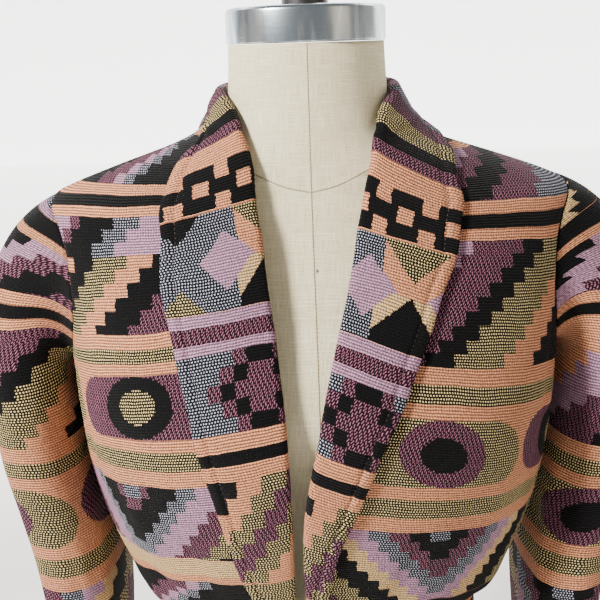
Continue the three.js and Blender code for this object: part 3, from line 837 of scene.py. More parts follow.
FRONT_RIGHT = {
    "top": 41.6,
    "bands": (
        (10.4, "peach"), (10, "black"), (9.3, "peach"),
        (88, {"centre": -120, "half": 26, "step": (10, 9.74), "middle": 0,
              "yarns": ((10.4, "peach"), (13.4, "lilac"), (16.9, "plum"), (19.9, "black"),
                        (22.9, "straw"), (26.4, "peach"), (30, "black"))}),
        (12, "peach"), (11, "straw"), (11, "peach"),
        (50, {"centre": -18, "turn": 132, "ring": (32, 25), "field": 38,
              "yarns": (("black", "plum", "straw"), ("straw", "black", "plum"))}),
        (10, "peach"), (14.5, "straw"), (13.5, "peach"),
        (76, {"centre": -20, "half": 17, "step": (7.4, 9.7), "middle": 0,
              "yarns": ((1.1, "grey"), (3.1, "black"), (5.1, "plum"), (7.6, "grey"), (9.6, "lilac"),
                        (11.6, "wheat"), (14.6, "black"), (17.1, "straw"), (30, "plum"))}),
        (16, "black"), (9, "peach"),
        (50, {"centre": -120, "half": 26, "step": (10, 9.74), "middle": 0,
              "yarns": ((8.9, "straw"), (11.9, "black"), (13.9, "lilac"), (16.4, "plum"),
                        (19.9, "black"), (22.9, "plum"), (30, "grey"))}),
    ),
}
BACK = {
    "top": 34,
    "bands": (
        (9.5, "peach"), (9, "black"), (9.5, "peach"),
        (30, {"centre": 0, "half": 14, "step": (10, 9.33), "middle": 9,
              "yarns": ((3.4, "lilac"), (5.9, "plum"), (8.9, "black"), (11.9, "grey"), (14.9, "lilac"),
                        (17.9, "black"), (30, "plum"))}),
        (56, {"centre": 0, "half": 14, "step": (10, 9.33), "middle": 6,
              "yarns": ((3.4, "peach"), (5.9, "plum"), (8.9, "black"), (11.9, "straw"), (14.9, "peach"),
                        (17.9, "black"), (30, "plum"))}),
        (10, "peach"), (10, "straw"), (10, "peach"),
        (46, {"centre": 0, "turn": 132, "ring": (30, 23), "field": 38,
              "yarns": (("black", "plum", "straw"), ("straw", "black", "plum"))}),
        (9.5, "peach"), (14, "straw"), (13, "peach"),
        (70, {"centre": 0, "half": 17, "step": (7.5, 10), "middle": 0,
              "yarns": ((1.1, "grey"), (3.1, "plum"), (5.1, "black"), (7.6, "grey"), (10.1, "lilac"),
                        (13.1, "plum"), (15.1, "straw"), (30, "black"))}),
        (16, "wheat"), (9, "peach"),
        (50, {"centre": 0, "half": 14, "step": (10, 9.33), "middle": 0,
              "yarns": ((3.4, "black"), (5.9, "grey"), (8.9, "plum"), (11.9, "lilac"), (14.9, "grey"),
                        (17.9, "black"), (30, "straw"))}),
    ),
}
COLLARS = {
    "top": 0,
    "bands": (
        (10, "peach"), (10, "black"), (10, "peach"),
        (45, {"centre": 0, "half": 4, "step": (9, 9), "middle": 2.5,
              "yarns": ((1.6, "plum"), (2.6, "black"), (30, "grey"))}),
        (8, "lilac"), (10, "plum"), (8, "lilac"), (10, "grey"), (17, "plum"), (19, "straw"),
        (10, "black"), (9, "plum"), (18, "peach"),
        (33, {"centre": -8, "half": 3, "step": (5.6, 11), "middle": 1.5,
              "yarns": ((1, "peach"), (3, "black"), (30, "peach"))}),
        (1.6, "plum"),
        (36, {"centre": -28, "half": 30, "step": (1.05, 1.15), "middle": 31,
              "yarns": ((18.5, "lilac"), (44.5, "grey"), (70, "black")),
              "beyond": (9, ((20.5, "lilac"), (38.5, "peach"), (70, "straw")))}),
        (33, {"centre": -28, "half": 30, "step": (1.05, 1.15), "middle": -1,
              "yarns": ((18.5, "lilac"), (44.5, "grey"), (70, "straw")),
              "beyond": (7, ((18.5, "lilac"), (30.5, "wheat"), (70, "black")))}),
        (8, "lilac"), (12, "plum"), (7.5, "lilac"),
        (52.5, {"centre": -13, "half": 5, "step": (9, 10.5), "middle": 2.5,
                "yarns": ((1.6, "plum"), (2.6, "black"), (3.6, "plum"), (30, "grey"))}),
        (10.5, "peach"), (8.5, "black"), (12.5, "peach"),
        (90, {"centre": -75, "half": 16, "step": (8, 13), "middle": 0,
              "yarns": ((5.6, "black"), (7.6, "peach"), (9.6, "straw"), (11.6, "plum"), (13.6, "straw"),
                        (30, "peach"))}),
        (30, "straw"), (52, "plum"),
    ),
}
SLEEVES = {"top": -96, "bands": FRONT_RIGHT["bands"]}


def yarn_stops(names, starts):
    """Stops of a ramp that goes from yarn to yarn at the given starts."""
    return ("CONSTANT", *((start, (*[CODES[name]] * 3, 1.0)) for name, start in zip(names, starts)))


def eye_code(tree, place, figure, middle):
    """Yarn code of a row of eyes on a peach ground, where two colourings take turns."""
    turn, (wide, high), field = figure["turn"], figure["ring"], figure["field"]
    work_out(tree, place, [
        ("away", "SUBTRACT", "u", figure["centre"]), ("away", "PINGPONG", "away", turn),
        ("back", "SUBTRACT", turn, "away"), ("near", "MINIMUM", "away", "back"),
        ("other", "GREATER_THAN", "away", turn / 2),
        ("up", "SUBTRACT", "row middle", middle), ("up", "DIVIDE", "up", high),
        ("up", "POWER", "up", 2.0), ("side", "DIVIDE", "near", wide),
        ("side", "MULTIPLY", "side", "side"), ("far", "ADD", "side", "up"),
        ("far", "SQRT", "far"), ("far", "MULTIPLY", "far", 1 / EYE_REACH),
        ("end", "SUBTRACT", "near", field), ("end", "MAXIMUM", "end", 0.0),
        ("end", "DIVIDE", "end", high), ("end", "MULTIPLY", "end", "end"),
        ("end", "ADD", "end", "up"), ("outside", "GREATER_THAN", "end", 1.02)])
    codes = []
    for names in figure["yarns"]:
        stops = yarn_stops(names, (0.0, EYE_CENTRE / EYE_REACH, 1 / EYE_REACH))
        codes.append(add(tree, "ValToRGB", None, {"Fac": place["far"]}, stops).outputs["Color"])
    pair = add(tree, "Mix", FLOAT_MIX, {"Factor": place["other"], "A": codes[0], "B": codes[1]})
    code = add(tree, "Mix", FLOAT_MIX,
               {"Factor": place["outside"], "A": pair.outputs[0], "B": CODES["peach"]})
    return code.outputs[0]


def step_code(tree, place, figure, top):
    """Yarn code of a stepped figure. Columns past the one named beyond may have other yarns."""
    across, down = figure["step"]
    work_out(tree, place, [
        ("column", "SUBTRACT", "u", figure["centre"]), ("column", "DIVIDE", "column", across),
        ("column", "FLOOR", "column"), ("column", "ADD", "column", 0.5),
        ("side", "PINGPONG", "column", figure["half"]),
        ("line", "SUBTRACT", "v", top), ("line", "DIVIDE", "line", down), ("line", "FLOOR", "line"),
        ("line", "ADD", "line", 0.5 - figure["middle"]), ("line", "ABSOLUTE", "line"),
        ("count", "ADD", "side", "line"), ("count", "DIVIDE", "count", COUNT_REACH)])
    past, others = figure.get("beyond", (0, None))
    codes = []
    for yarns in (figure["yarns"], others):
        if yarns:
            starts = [0.0] + [limit / COUNT_REACH for limit, _ in yarns]
            stops = yarn_stops([name for _, name in yarns], starts)
            codes.append(add(tree, "ValToRGB", None, {"Fac": place["count"]}, stops).outputs["Color"])
    if len(codes) == 1:
        return codes[0]
    work_out(tree, place, [("past", "GREATER_THAN", "column", past)])
    pair = add(tree, "Mix", FLOAT_MIX, {"Factor": place["past"], "A": codes[0], "B": codes[1]})
    return pair.outputs[0]


def chart_code(tree, place, chart, total):
    """Yarn code of a whole chart: its stripes, then its figures in their bands."""
    names, starts = [], []
    top = 0.0
    for height, what in chart["bands"]:
        name = what if isinstance(what, str) else "peach"
        if not names or names[-1] != name:
            names.append(name)
            starts.append(top / total)
        top += height
    stops = yarn_stops(names, starts)
    code = add(tree, "ValToRGB", None, {"Fac": place["share"]}, stops).outputs["Color"]
    top = 0.0
    for height, what in chart["bands"]:
        if not isinstance(what, str):
            middle = top + height / 2
            work_out(tree, place, [("in band", "COMPARE", "v", middle, height / 2)])
            if "turn" in what:
                found = eye_code(tree, place, what, middle)
            else:
                found = step_code(tree, place, what, top)
            code = add(tree, "Mix", FLOAT_MIX,
                       {"Factor": place["in band"], "A": code, "B": found}).outputs[0]
        top += height
    return code


def blanket_cotton(name, chart, shift=(0.0, 0.0), scale=1.0):
    """Ribbed tapestry weave in cotton: thick weft ribs with small beads, matt and a little hairy.
    Each colour area is woven in its own way: solid ribs, round beads or slanted floats."""
    material, tree = new_material(name)
    weave = add(tree, "UVMap", {"uv_map": "weave"}).outputs["UV"]
    noises = {}
    for label, size, detail in (("drift", 0.018, 1.0), ("tremble", 0.16, 1.0),
                                ("uneven", 0.42, 2.0), ("aged", 0.02, 3.0)):
        links = {"Vector": weave, "Scale": size, "Detail": detail}
        noises[label] = add(tree, "TexNoise", None, links).outputs
    place = {"uneven": noises["uneven"]["Fac"], "aged": noises["aged"]["Fac"]}
    for label, vector in (("cloth", weave), ("drift", noises["drift"]["Color"]),
                          ("tremble", noises["tremble"]["Color"])):
        split = add(tree, "SeparateXYZ", None, {"Vector": vector})
        place[label + " u"], place[label + " v"] = split.outputs["X"], split.outputs["Y"]
    total = sum(height for height, _ in chart["bands"])
    u_start, v_start = ((DRIFT + tremble) / 2 for tremble in TREMBLE)
    work_out(tree, place, [
        ("u", "MULTIPLY_ADD", "drift u", DRIFT, "cloth u"),
        ("u", "MULTIPLY_ADD", "tremble u", TREMBLE[0], "u"), ("u", "SUBTRACT", "u", u_start + shift[0]),
        ("v", "MULTIPLY_ADD", "drift v", DRIFT, "cloth v"),
        ("v", "MULTIPLY_ADD", "tremble v", TREMBLE[1], "v"),
        ("v", "SUBTRACT", "v", v_start + chart["top"] + shift[1]),
        ("v", "DIVIDE", "v", scale), ("v", "WRAP", "v", total, 0.0),
        ("rib row", "DIVIDE", "v", RIB), ("rib row", "FLOOR", "rib row")])
    ragged = add(tree, "TexWhiteNoise", {"noise_dimensions": "1D"}, {"W": place["rib row"]})
    place["ragged"] = ragged.outputs["Value"]
    work_out(tree, place, [
        ("u", "MULTIPLY_ADD", "ragged", RAGGED, "u"),
        ("row middle", "ADD", "rib row", 0.5), ("row middle", "MULTIPLY", "row middle", RIB),
        ("share", "DIVIDE", "v", total)])
    code = chart_code(tree, place, chart, total)

    shades = []
    for pick in range(3):
        stops = []
        for k, (light, ground, bead, slanted) in enumerate(YARNS.values()):
            shade = (colour(light), colour(ground), (bead, slanted, 0.0, 1.0))[pick]
            stops.append((0.0 if k == 0 else (k + 0.5) / 10, shade))
        ramp = add(tree, "ValToRGB", None, {"Fac": code}, ("CONSTANT", *stops))
        shades.append(ramp.outputs["Color"])
    kinds = add(tree, "SeparateXYZ", None, {"Vector": shades[2]})
    work_out(tree, place, [
        ("rib", "PINGPONG", "v", RIB / 2), ("rib", "DIVIDE", "rib", RIB / 2),
        ("odd", "MULTIPLY", "rib row", BEAD / 2), ("along", "ADD", "u", "odd"),
        ("bead", "PINGPONG", "along", BEAD / 2), ("bead", "DIVIDE", "bead", BEAD / 2),
        ("flat rib", "SUBTRACT", 1.0, "rib"), ("flat rib", "POWER", "flat rib", 2.0),
        ("flat bead", "SUBTRACT", 1.0, "bead"), ("flat bead", "POWER", "flat bead", 2.0),
        ("round", "ADD", "flat rib", "flat bead"), ("round", "SQRT", "round"),
        ("round", "MULTIPLY_ADD", "round", -2.5, 1.8), ("round", "MINIMUM", "round", 1.0),
        ("round", "MAXIMUM", "round", 0.0),
        ("solid", "MULTIPLY_ADD", "rib", 2.1, -0.55), ("solid", "MINIMUM", "solid", 1.0),
        ("solid", "MAXIMUM", "solid", 0.0), ("solid", "MULTIPLY", "solid", 0.6),
        ("solid", "MULTIPLY_ADD", "bead", 0.42, "solid"),
        ("slant", "MULTIPLY_ADD", "v", 0.42, "u"), ("lane", "DIVIDE", "slant", FLOAT),
        ("lane", "FLOOR", "lane"), ("thin", "PINGPONG", "slant", FLOAT / 2),
        ("thin", "DIVIDE", "thin", FLOAT / 2), ("thin", "MULTIPLY_ADD", "thin", 2.2, -0.85),
        ("long", "MULTIPLY_ADD", "lane", RIB, "v"), ("long", "PINGPONG", "long", RIB),
        ("long", "DIVIDE", "long", RIB), ("long", "MULTIPLY_ADD", "long", 2.4, -0.5),
        ("float", "MINIMUM", "thin", "long"), ("float", "MINIMUM", "float", 1.0),
        ("float", "MAXIMUM", "float", 0.0)])
    mask = place["solid"]
    for factor, other in ((kinds.outputs["X"], "round"), (kinds.outputs["Y"], "float")):
        mask = add(tree, "Mix", FLOAT_MIX, {"Factor": factor, "A": mask, "B": place[other]}).outputs[0]
    # Light yarn colour on the raised tops and ground colour in the grooves: partly the yarns' own
    # colours, partly painted highlight and painted shade.
    dyed_and_shaded = add(tree, "Mix", COLOUR_MIX, {"Factor": mask, "A": shades[1], "B": shades[0]})
    place["mask"] = mask
    work_out(tree, place, [
        ("value", "MULTIPLY_ADD", "uneven", 0.9, 0.26), ("value", "MULTIPLY_ADD", "aged", 0.3, "value"),
        ("height", "MULTIPLY_ADD", "rib", 0.45, "value"),
        ("height", "MULTIPLY_ADD", "mask", 0.6, "height")])
    dyed_and_shaded = add(tree, "HueSaturation", None, {"Color": dyed_and_shaded.outputs["Result"], "Value": place["value"]})
    bump = add(tree, "Bump", None, {"Height": place["height"], "Strength": 1.0, "Distance": 0.0009})
    finish_material(tree, {
        "Base Color": dyed_and_shaded.outputs["Color"], "Normal": bump.outputs["Normal"], "Roughness": 0.88,
        "Specular IOR Level": 0.08, "Sheen Weight": 0.02, "Sheen Roughness": 0.5})
    return material


# Half the spacing of the linen's threads, in millimetres, drawn coarser than real so that it shows.
LINEN_THREAD = 0.42


def natural_linen():
    """Plain linen over padding: fine uneven threads with slubs, matt and yellowed with age. The
    gores and the neck are joined by flat seams with small stitches."""
    material, tree = new_material("natural linen")
    weave = add(tree, "UVMap", {"uv_map": "weave"}).outputs["UV"]
    neck = add(tree, "UVMap", {"uv_map": "neck seam"}).outputs["UV"]
    parts = add(tree, "SeparateXYZ", None, {"Vector": weave})
    neck = add(tree, "SeparateXYZ", None, {"Vector": neck})
    place = {"u": parts.outputs["X"], "v": parts.outputs["Y"], "neck": neck.outputs["X"]}
    for name, stretch in (("warp slub", (1.6, 0.05, 1)), ("weft slub", (0.05, 1.6, 1)),
                          ("stain", (0.02, 0.02, 1)), ("wander", (0.12, 0.12, 1))):
        scaled = add(tree, "VectorMath", {"operation": "MULTIPLY"}, {0: weave, 1: stretch})
        noise = add(tree, "TexNoise", None,
                    {"Vector": scaled.outputs[0], "Scale": 1.0, "Detail": 3.0})
        place[name] = noise.outputs["Fac"]
    work_out(tree, place, [
        ("warp", "MULTIPLY_ADD", "wander", 1.4, "u"), ("warp", "PINGPONG", "warp", LINEN_THREAD),
        ("warp", "DIVIDE", "warp", LINEN_THREAD), ("weft", "MULTIPLY_ADD", "wander", 1.4, "v"),
        ("weft", "PINGPONG", "weft", LINEN_THREAD), ("weft", "DIVIDE", "weft", LINEN_THREAD),
        ("thread", "MULTIPLY", "warp", "weft"), ("slub", "MAXIMUM", "warp slub", "weft slub"),
        ("thread", "MULTIPLY_ADD", "slub", 1.5, "thread"),
        ("thread", "MULTIPLY_ADD", "thread", 0.9, -0.45),
        ("away", "ABSOLUTE", "neck"), ("on neck", "LESS_THAN", "away", "u"),
        ("away", "MINIMUM", "away", "u"), ("seam", "MULTIPLY_ADD", "away", -2.2, 1.5),
        ("seam", "MINIMUM", "seam", 1.0), ("seam", "MAXIMUM", "seam", 0.0),
        ("bulge", "MULTIPLY_ADD", "away", -0.25, 1.0), ("bulge", "MAXIMUM", "bulge", 0.0),
        ("run", "MULTIPLY_ADD", "on neck", "u", "v"), ("run", "PINGPONG", "run", 1.2),
        ("run", "GREATER_THAN", "run", 0.35), ("run", "MULTIPLY_ADD", "run", 0.5, 0.35),
        ("line", "MULTIPLY", "seam", "run"),
        ("height", "MULTIPLY_ADD", "bulge", 0.7, "thread"),
        ("height", "MULTIPLY_ADD", "seam", -1.6, "height")])
    tones = []
    for factor, low, high in (("thread", "#a39568", "#fffbe6"), ("stain", "#fffaea", "#e9dfbe")):
        links = {"Factor": place[factor], "A": colour(low), "B": colour(high)}
        tone = add(tree, "Mix", COLOUR_MIX, links)
        tones.append(tone.outputs["Result"])
    cloth = add(tree, "Mix", {"data_type": "RGBA", "blend_type": "MULTIPLY"},
                {"Factor": 0.4, "A": tones[0], "B": tones[1]})
    cloth = add(tree, "Mix", COLOUR_MIX,
                {"Factor": place["line"], "A": cloth.outputs["Result"], "B": colour("#75654a")})
    bump = add(tree, "Bump", None, {"Height": place["height"], "Strength": 0.8, "Distance": 0.0005})
    finish_material(tree, {
        "Base Color": cloth.outputs["Result"], "Normal": bump.outputs["Normal"], "Roughness": 0.93,
        "Specular IOR Level": 0.25, "Sheen Weight": 0.05})
    return material


def hard_finish(name, tones, rough, metallic, stretch, grain, lift):
    """A hard surface: its tones run from the first to the last along streaks or clouds of the given
    stretch, rougher with the first and smoother with the last, and its fine grain is brushing on metal
    or orange peel in enamel. On the spun aluminium the streaks of tone are painted reflections."""
    material, tree = new_material(name)
    where = add(tree, "TexCoord").outputs["Object"]
    noises = []
    for scale, detail in ((stretch, 4.0), (grain, 2.0)):
        scaled = add(tree, "VectorMath", {"operation": "MULTIPLY"}, {0: where, 1: scale})
        noise = add(tree, "TexNoise", None,
                    {"Vector": scaled.outputs[0], "Scale": 1.0, "Detail": detail})
        noises.append(noise.outputs["Fac"])
    tone = add(tree, "ValToRGB", None, {"Fac": noises[0]},
               ("EASE", *zip((0.34, 0.52, 0.66), map(colour, tones))))
    dull = add(tree, "MapRange", None, {"Value": noises[0], "From Min": 0.3, "From Max": 0.7,
                                        "To Min": rough[1], "To Max": rough[0]})
    bump = add(tree, "Bump", None, {"Height": noises[1], "Strength": 0.5, "Distance": lift})
    finish_material(tree, {
        "Base Color": tone.outputs["Color"], "Roughness": dull.outputs[0],
        "Normal": bump.outputs["Normal"], "Metallic": metallic})
    return material


def sewing_thread(name, code, dark):
    """Twisted cotton thread, matt. Its raised turns are painted lighter and the hollows between them
    darker: painted highlight and painted shade.
    """
    material, tree = new_material(name)
    where = add(tree, "TexCoord").outputs["Object"]
    twist = add(tree, "TexNoise", None, {"Vector": where, "Scale": 1400.0, "Detail": 2.0})
    tone = add(tree, "ValToRGB", None, {"Fac": twist.outputs["Fac"]},
               ("LINEAR", (0.35, colour(dark)), (0.65, colour(code))))
    bump = add(tree, "Bump", None,
               {"Height": twist.outputs["Fac"], "Strength": 0.6, "Distance": 0.0002})
    finish_material(tree, {
        "Base Color": tone.outputs["Color"], "Normal": bump.outputs["Normal"], "Roughness": 0.8})
    return material


CLOTHS = {
    "front_left": blanket_cotton("blanket cotton, left front", FRONT_LEFT),
    "front_right": blanket_cotton("blanket cotton, right front", FRONT_RIGHT),
    "back": blanket_cotton("blanket cotton, back", BACK),
    "sleeve_left": blanket_cotton("blanket cotton, left sleeve", SLEEVES, (30, 0)),
    "sleeve_right": blanket_cotton("blanket cotton, right sleeve", SLEEVES, (-40, 14)),
    "collar_left": blanket_cotton("blanket cotton, left collar", COLLARS),
    "collar_right": blanket_cotton("blanket cotton, right collar", COLLARS, (42, 7.5), 1.04),
}
LINEN = natural_linen()

# Spinning leaves fine rings round the cap, and wear has left it between a mirror and satin. Its dark
# and light streaks down the cap are painted reflections.
ALUMINIUM = hard_finish(
    "spun aluminium, polished, streaks of painted reflection", ("#6f7a83", "#9aa4ab", "#e3e7e8"),
    (0.16, 0.34), 1.0, (46, 46, 9), (30, 30, 2400), 0.00008)
# The tube is brushed, which gives it one long soft highlight.
STEEL = hard_finish(
    "satin steel", ("#75787b", "#a5a8ab", "#c9cbcd"),
    (0.24, 0.42), 1.0, (60, 60, 12), (40, 40, 2600), 0.0001)
# Baked paint on cast iron is deep black and half glossy, with a faint orange peel.
ENAMEL = hard_finish(
    "black stove enamel", ("#232326", "#131315", "#0c0c0e"),
    (0.28, 0.5), 0.0, (22, 22, 22), (420, 420, 420), 0.0002)
# Horn is near black with brown clouds, and smooth from polishing.
HORN = hard_finish(
    "polished horn", ("#6b4a2c", "#2c1c12", "#140d09"),
    (0.2, 0.36), 0.0, (90, 160, 320), (700, 700, 700), 0.0001)
DARK_THREAD = sewing_thread("dark sewing thread", "#4a3436", "#150d0e")
BLACK_THREAD = sewing_thread("black buttonhole thread", "#2c282b", "#08070a")


# Metres behind the object between which the boards begin to glow.
GLOW_BEGIN = 0.7
GLOW_FULL = 1.7


def painted_board(name, mesh, code, glow):
    """Matt painted board. The part behind is lit from within, as bright as a lit studio wall."""
    material, tree = new_material(name + " paint")
    grain = add(tree, "TexNoise", None, {"Scale": 3.0, "Detail": 4.0})
    tone = add(tree, "MapRange", None, {"Value": grain.outputs["Fac"], "To Min": 0.72, "To Max": 0.8})
    where = add(tree, "TexCoord").outputs["Object"]
    depth = add(tree, "SeparateXYZ", None, {"Vector": where}).outputs["Y"]
    light = add(tree, "MapRange", {"interpolation_type": "SMOOTHSTEP"},
                {"Value": depth, "From Min": GLOW_BEGIN, "From Max": GLOW_FULL,
                 "To Min": 0.0, "To Max": glow})
    finish_material(tree, {
        "Base Color": colour(code), "Emission Color": colour(code), "Roughness": tone.outputs[0],
        "Emission Strength": light.outputs[0]})
    into_scene(name, mesh, material)


def softbox(name, place, aim, size, power, tint):
    light = bpy.data.lights.new(name, "AREA")
    light.shape = "RECTANGLE"
    light.size, light.size_y = size
    light.energy = power
    light.color = colour(tint)[:3]
    lamp = bpy.data.objects.new(name, light)
    bpy.context.scene.collection.objects.link(lamp)
    lamp.location = place
    lamp.rotation_euler = (Vector(aim) - Vector(place)).to_track_quat("-Z", "Y").to_euler()


# Camera at the photograph's place, tilted down and a little rolled.
PLACE = Vector((-0.011, -0.692, 0.922))
PITCH = math.radians(15.9)
ROLL = math.radians(2.0)
lens = bpy.data.cameras.new("camera")
lens.lens = 54.12
lens.sensor_width = 36.0
lens.clip_end = 60.0
camera = bpy.data.objects.new("camera", lens)
bpy.context.scene.collection.objects.link(camera)
bpy.context.scene.camera = camera
ahead = Vector((0, math.cos(PITCH), -math.sin(PITCH)))
right = Vector((1, 0, 0))
up = right.cross(ahead)
across = right * math.cos(ROLL) - up * math.sin(ROLL)
above = right * math.sin(ROLL) + up * math.cos(ROLL)
turn = Matrix((across, above, -ahead)).transposed().to_4x4()
camera.matrix_world = Matrix.Translation(PLACE) @ turn

# Height of the neck seam in each direction from the front.
NECK_SEAM = ((0, 821.5), (15, 825.3), (30, 833), (60, 850), (90, 860), (135, 866), (180, 868))

# Columns and rows of the torso's grid. Its gore seams lie on columns, eight round the body and
# two round the neck.
TORSO_COLUMNS = 208
TORSO_ROWS = 240
BODY_GORE = TORSO_COLUMNS // 8
NECK_GORE = TORSO_COLUMNS // 2


@lru_cache(maxsize=None)
def torso_lengths(z):
    """Lengths round the torso from its back to each column."""
    turns = [k * 360 / TORSO_COLUMNS for k in range(TORSO_COLUMNS + 1)]
    return running_lengths([on_section(TORSO, z, turn) for turn in turns])


def torso_mesh():
    """The padded torso. Its weave runs from the nearest gore seam, and a second map holds the
    height above the neck seam."""
    def place(across, along):
        z = lerp(TORSO[0][0], TORSO[-1][0], along)
        column = round(across * TORSO_COLUMNS)
        rise = z - smooth(NECK_SEAM, 1, 180 - abs(180 - column * 360 / TORSO_COLUMNS))
        gore = NECK_GORE if rise > 0 else BODY_GORE
        lengths = torso_lengths(z)
        near = round(column / gore) * gore
        return on_section(TORSO, z, across * 360), abs(lengths[column] - lengths[near]), z

    mesh = cloth_grid(TORSO_COLUMNS, TORSO_ROWS, place, tube=True)
    weave = mesh.loops.layers.uv["weave"]
    layer = mesh.loops.layers.uv.new("neck seam")
    for face in mesh.faces:
        for loop in face.loops:
            x, y = loop.vert.co.x, loop.vert.co.y
            turn = math.degrees(abs(math.atan2(x, -y)))
            loop[layer].uv = (loop[weave].uv.y - smooth(NECK_SEAM, 1, turn), 0)
    bmesh.ops.holes_fill(mesh, edges=mesh.edges)
    outward(mesh, Vector((0, 0, 0.6)))
    return mesh


def stitch_line(name, path, material, length=2.6, gap=0.9, thick=0.32):
    """Stitches of thread along a path of points and outward directions, a little uneven."""
    dice = random.Random(name)
    mesh = bmesh.new()
    before = 0.0
    wait = gap
    for (a, out), (b, _) in zip(path, path[1:]):
        run = (b - a).length
        while wait + length <= before + run:
            middle = a.lerp(b, (wait + length / 2 - before) / run)
            along = (b - a).normalized()
            side = out.cross(along).normalized()
            along = (along + side * dice.uniform(-0.06, 0.06)).normalized()
            axes = Matrix((along * (length / 2), side * thick, out * (thick * 0.8))).transposed()
            place = Matrix.Translation(middle * MM) @ (axes * MM).to_4x4()
            bmesh.ops.create_icosphere(mesh, subdivisions=1, radius=1, matrix=place)
            wait += (length + gap) * dice.uniform(0.95, 1.05)
        before += run
    shade_smooth(mesh)
    bmesh.ops.recalc_face_normals(mesh, faces=mesh.faces)
    return finish_mesh(name, mesh, material)


def collar_stitches(collar, side):
    path = []
    for station, _ in collar_rows(collar):
        under, turn, fall, at = collar_frame(station, side)
        low, high = (at(under + turn + fall - TOPSTITCH, COLLAR / 2 + k) for k in (0.0, 1.0))
        path.append((low, high - low))
    return path


def band_path(z, places):
    """A path on the waistband's face from directions and lifts."""
    path = []
    for degrees, lift in places:
        low, high = band_point(z, degrees, lift), band_point(z, degrees, lift + 1)
        path.append((low, high - low))
    return path


def band_stitches(z):
    """A row all round, sunk a little into the cloth."""
    places = [band_place(k / BAND_COLUMNS) for k in range(BAND_COLUMNS + 1)]
    return band_path(z, [(degrees, lift - 0.4) for degrees, lift in places])


# Height of the sleeve hem's stitches, and x and y of the sleeve's middle there.
CUFF_SEAM = 283
CUFF_MIDDLE = (205, -19)


def sleeve_stitches(side):
    flip = Vector((side, 1, 1))
    path = []
    for k in range(91):
        point = sleeve_oval(CUFF_SEAM, k * 4)
        out = Vector((point.x - CUFF_MIDDLE[0], (point.y - CUFF_MIDDLE[1]) * 0.3, 0)).normalized()
        path.append((point * flip, out * flip))
    return path


# The button: its rim, radius, height and depth of its sunk middle, and place and radius of a hole.
BUTTON_RIM = ((6.6, 1.0), (10.2, 0), (11, 1.0), (11, 2.5), (10.3, 3.4), (9.2, 3.6), (8, 3.4),
              (6.6, 2.5))
WELL_RADIUS = 6.9
WELL_TOP = 2.6
WELL_FLOOR = 0.9
HOLE_OFF = 1.9
HOLE_RADIUS = 0.95


def button_mesh():
    """A four-hole button with a thick rim round a sunk middle."""
    mesh = turned(BUTTON_RIM, 96, ring=True)
    circles = [(0, 0, WELL_RADIUS, 64)]
    for x, y in ((1, 1), (-1, 1), (-1, -1), (1, -1)):
        circles.append((x * HOLE_OFF, y * HOLE_OFF, HOLE_RADIUS, 20))
    outline = []
    for x, y, radius, segments in circles:
        circle = bmesh.ops.create_circle(mesh, segments=segments, radius=radius * MM,
                                         matrix=Matrix.Translation(Vector((x, y, WELL_TOP)) * MM))
        outline += circle["verts"]
    edges = list({edge for vert in outline for edge in vert.link_edges})
    filled = bmesh.ops.triangle_fill(mesh, edges=edges, use_beauty=True)["geom"]
    faces = [item for item in filled if isinstance(item, bmesh.types.BMFace)]
    for item in bmesh.ops.extrude_face_region(mesh, geom=faces)["geom"]:
        if isinstance(item, bmesh.types.BMVert):
            item.co.z = WELL_FLOOR * MM
    bmesh.ops.recalc_face_normals(mesh, faces=mesh.faces)
    return mesh


# Pieces: the padded form and its stand
finish_mesh("linen_cover", torso_mesh(), LINEN, "form_torso", "form_linen")

PIN_HEIGHT = 771
PIN_TURN = 0.5
PIN_RADIUS = 1.1
pin = bmesh.new()
seat = off_section(TORSO, PIN_HEIGHT, PIN_TURN, 0.4)
bmesh.ops.create_icosphere(pin, subdivisions=3, radius=PIN_RADIUS * MM,
                           matrix=Matrix.Translation(seat * MM))
shade_smooth(pin)
finish_mesh("pin_head", pin, STEEL, slot="pole_steel")

turned_parts = (
    ("cap_shell", ALUMINIUM, "neck_cap", "cap_metal", 0.4,
     ((0, 922.35), (57.6, 922.35), (58.2, 922.5), (58.8, 923.2), (58.8, 943.2), (58.4, 945.4),
      (57, 946.9), (54.8, 947.35), (0, 947.35))),
    ("knob_ball", ENAMEL, "cap_knob", "black_enamel", 0.6,
     ((0, 947.7), (17, 947.7), (17, 952.7), (9, 956.7), (7, 962.7), (7, 965.6), (10, 967.9),
      (12.6, 971.6), (14, 977.7), (12.6, 983.8), (9, 988.4), (5, 990.8), (0, 991.7))),
    ("foot_casting", ENAMEL, "stand_foot", "black_enamel", 0.8,
     ((0, 0), (161, 0), (162, 1), (165, 5), (165, 11), (163.5, 14.5), (158, 18), (115, 21.5),
      (72, 27), (48, 30.2), (34, 35), (28, 40.5), (25.2, 47), (24, 59), (23, 60), (0, 60))),
    ("pole_tube", STEEL, "stand_pole", "pole_steel", 0.4,
     ((0, 60.35), (12.5, 60.35), (12.5, 206.3), (0, 206.3))),
    ("plate_disc", ENAMEL, "stand_plate", "black_enamel", 1.2,
     ((0, 206.65), (42, 206.65), (42, 214.65), (0, 214.65))),
)
for name, material, node, slot, edge, profile in turned_parts:
    soften(finish_mesh(name, turned(profile, 160), material, node, slot), edge)

# Pieces: the jacket
jacket = {}
for name, mesh in (("back", back_panel()), ("front_left", front_panel(COLLAR_LEFT, -1)),
                   ("front_right", front_panel(COLLAR_RIGHT, 1)),
                   ("sleeve_left", sleeve_mesh(-1)), ("sleeve_right", sleeve_mesh(1))):
    jacket[name] = finish_mesh(name + "_cloth", mesh, CLOTHS[name], name, "blanket_cotton")
    thicken(jacket[name], CLOTH)

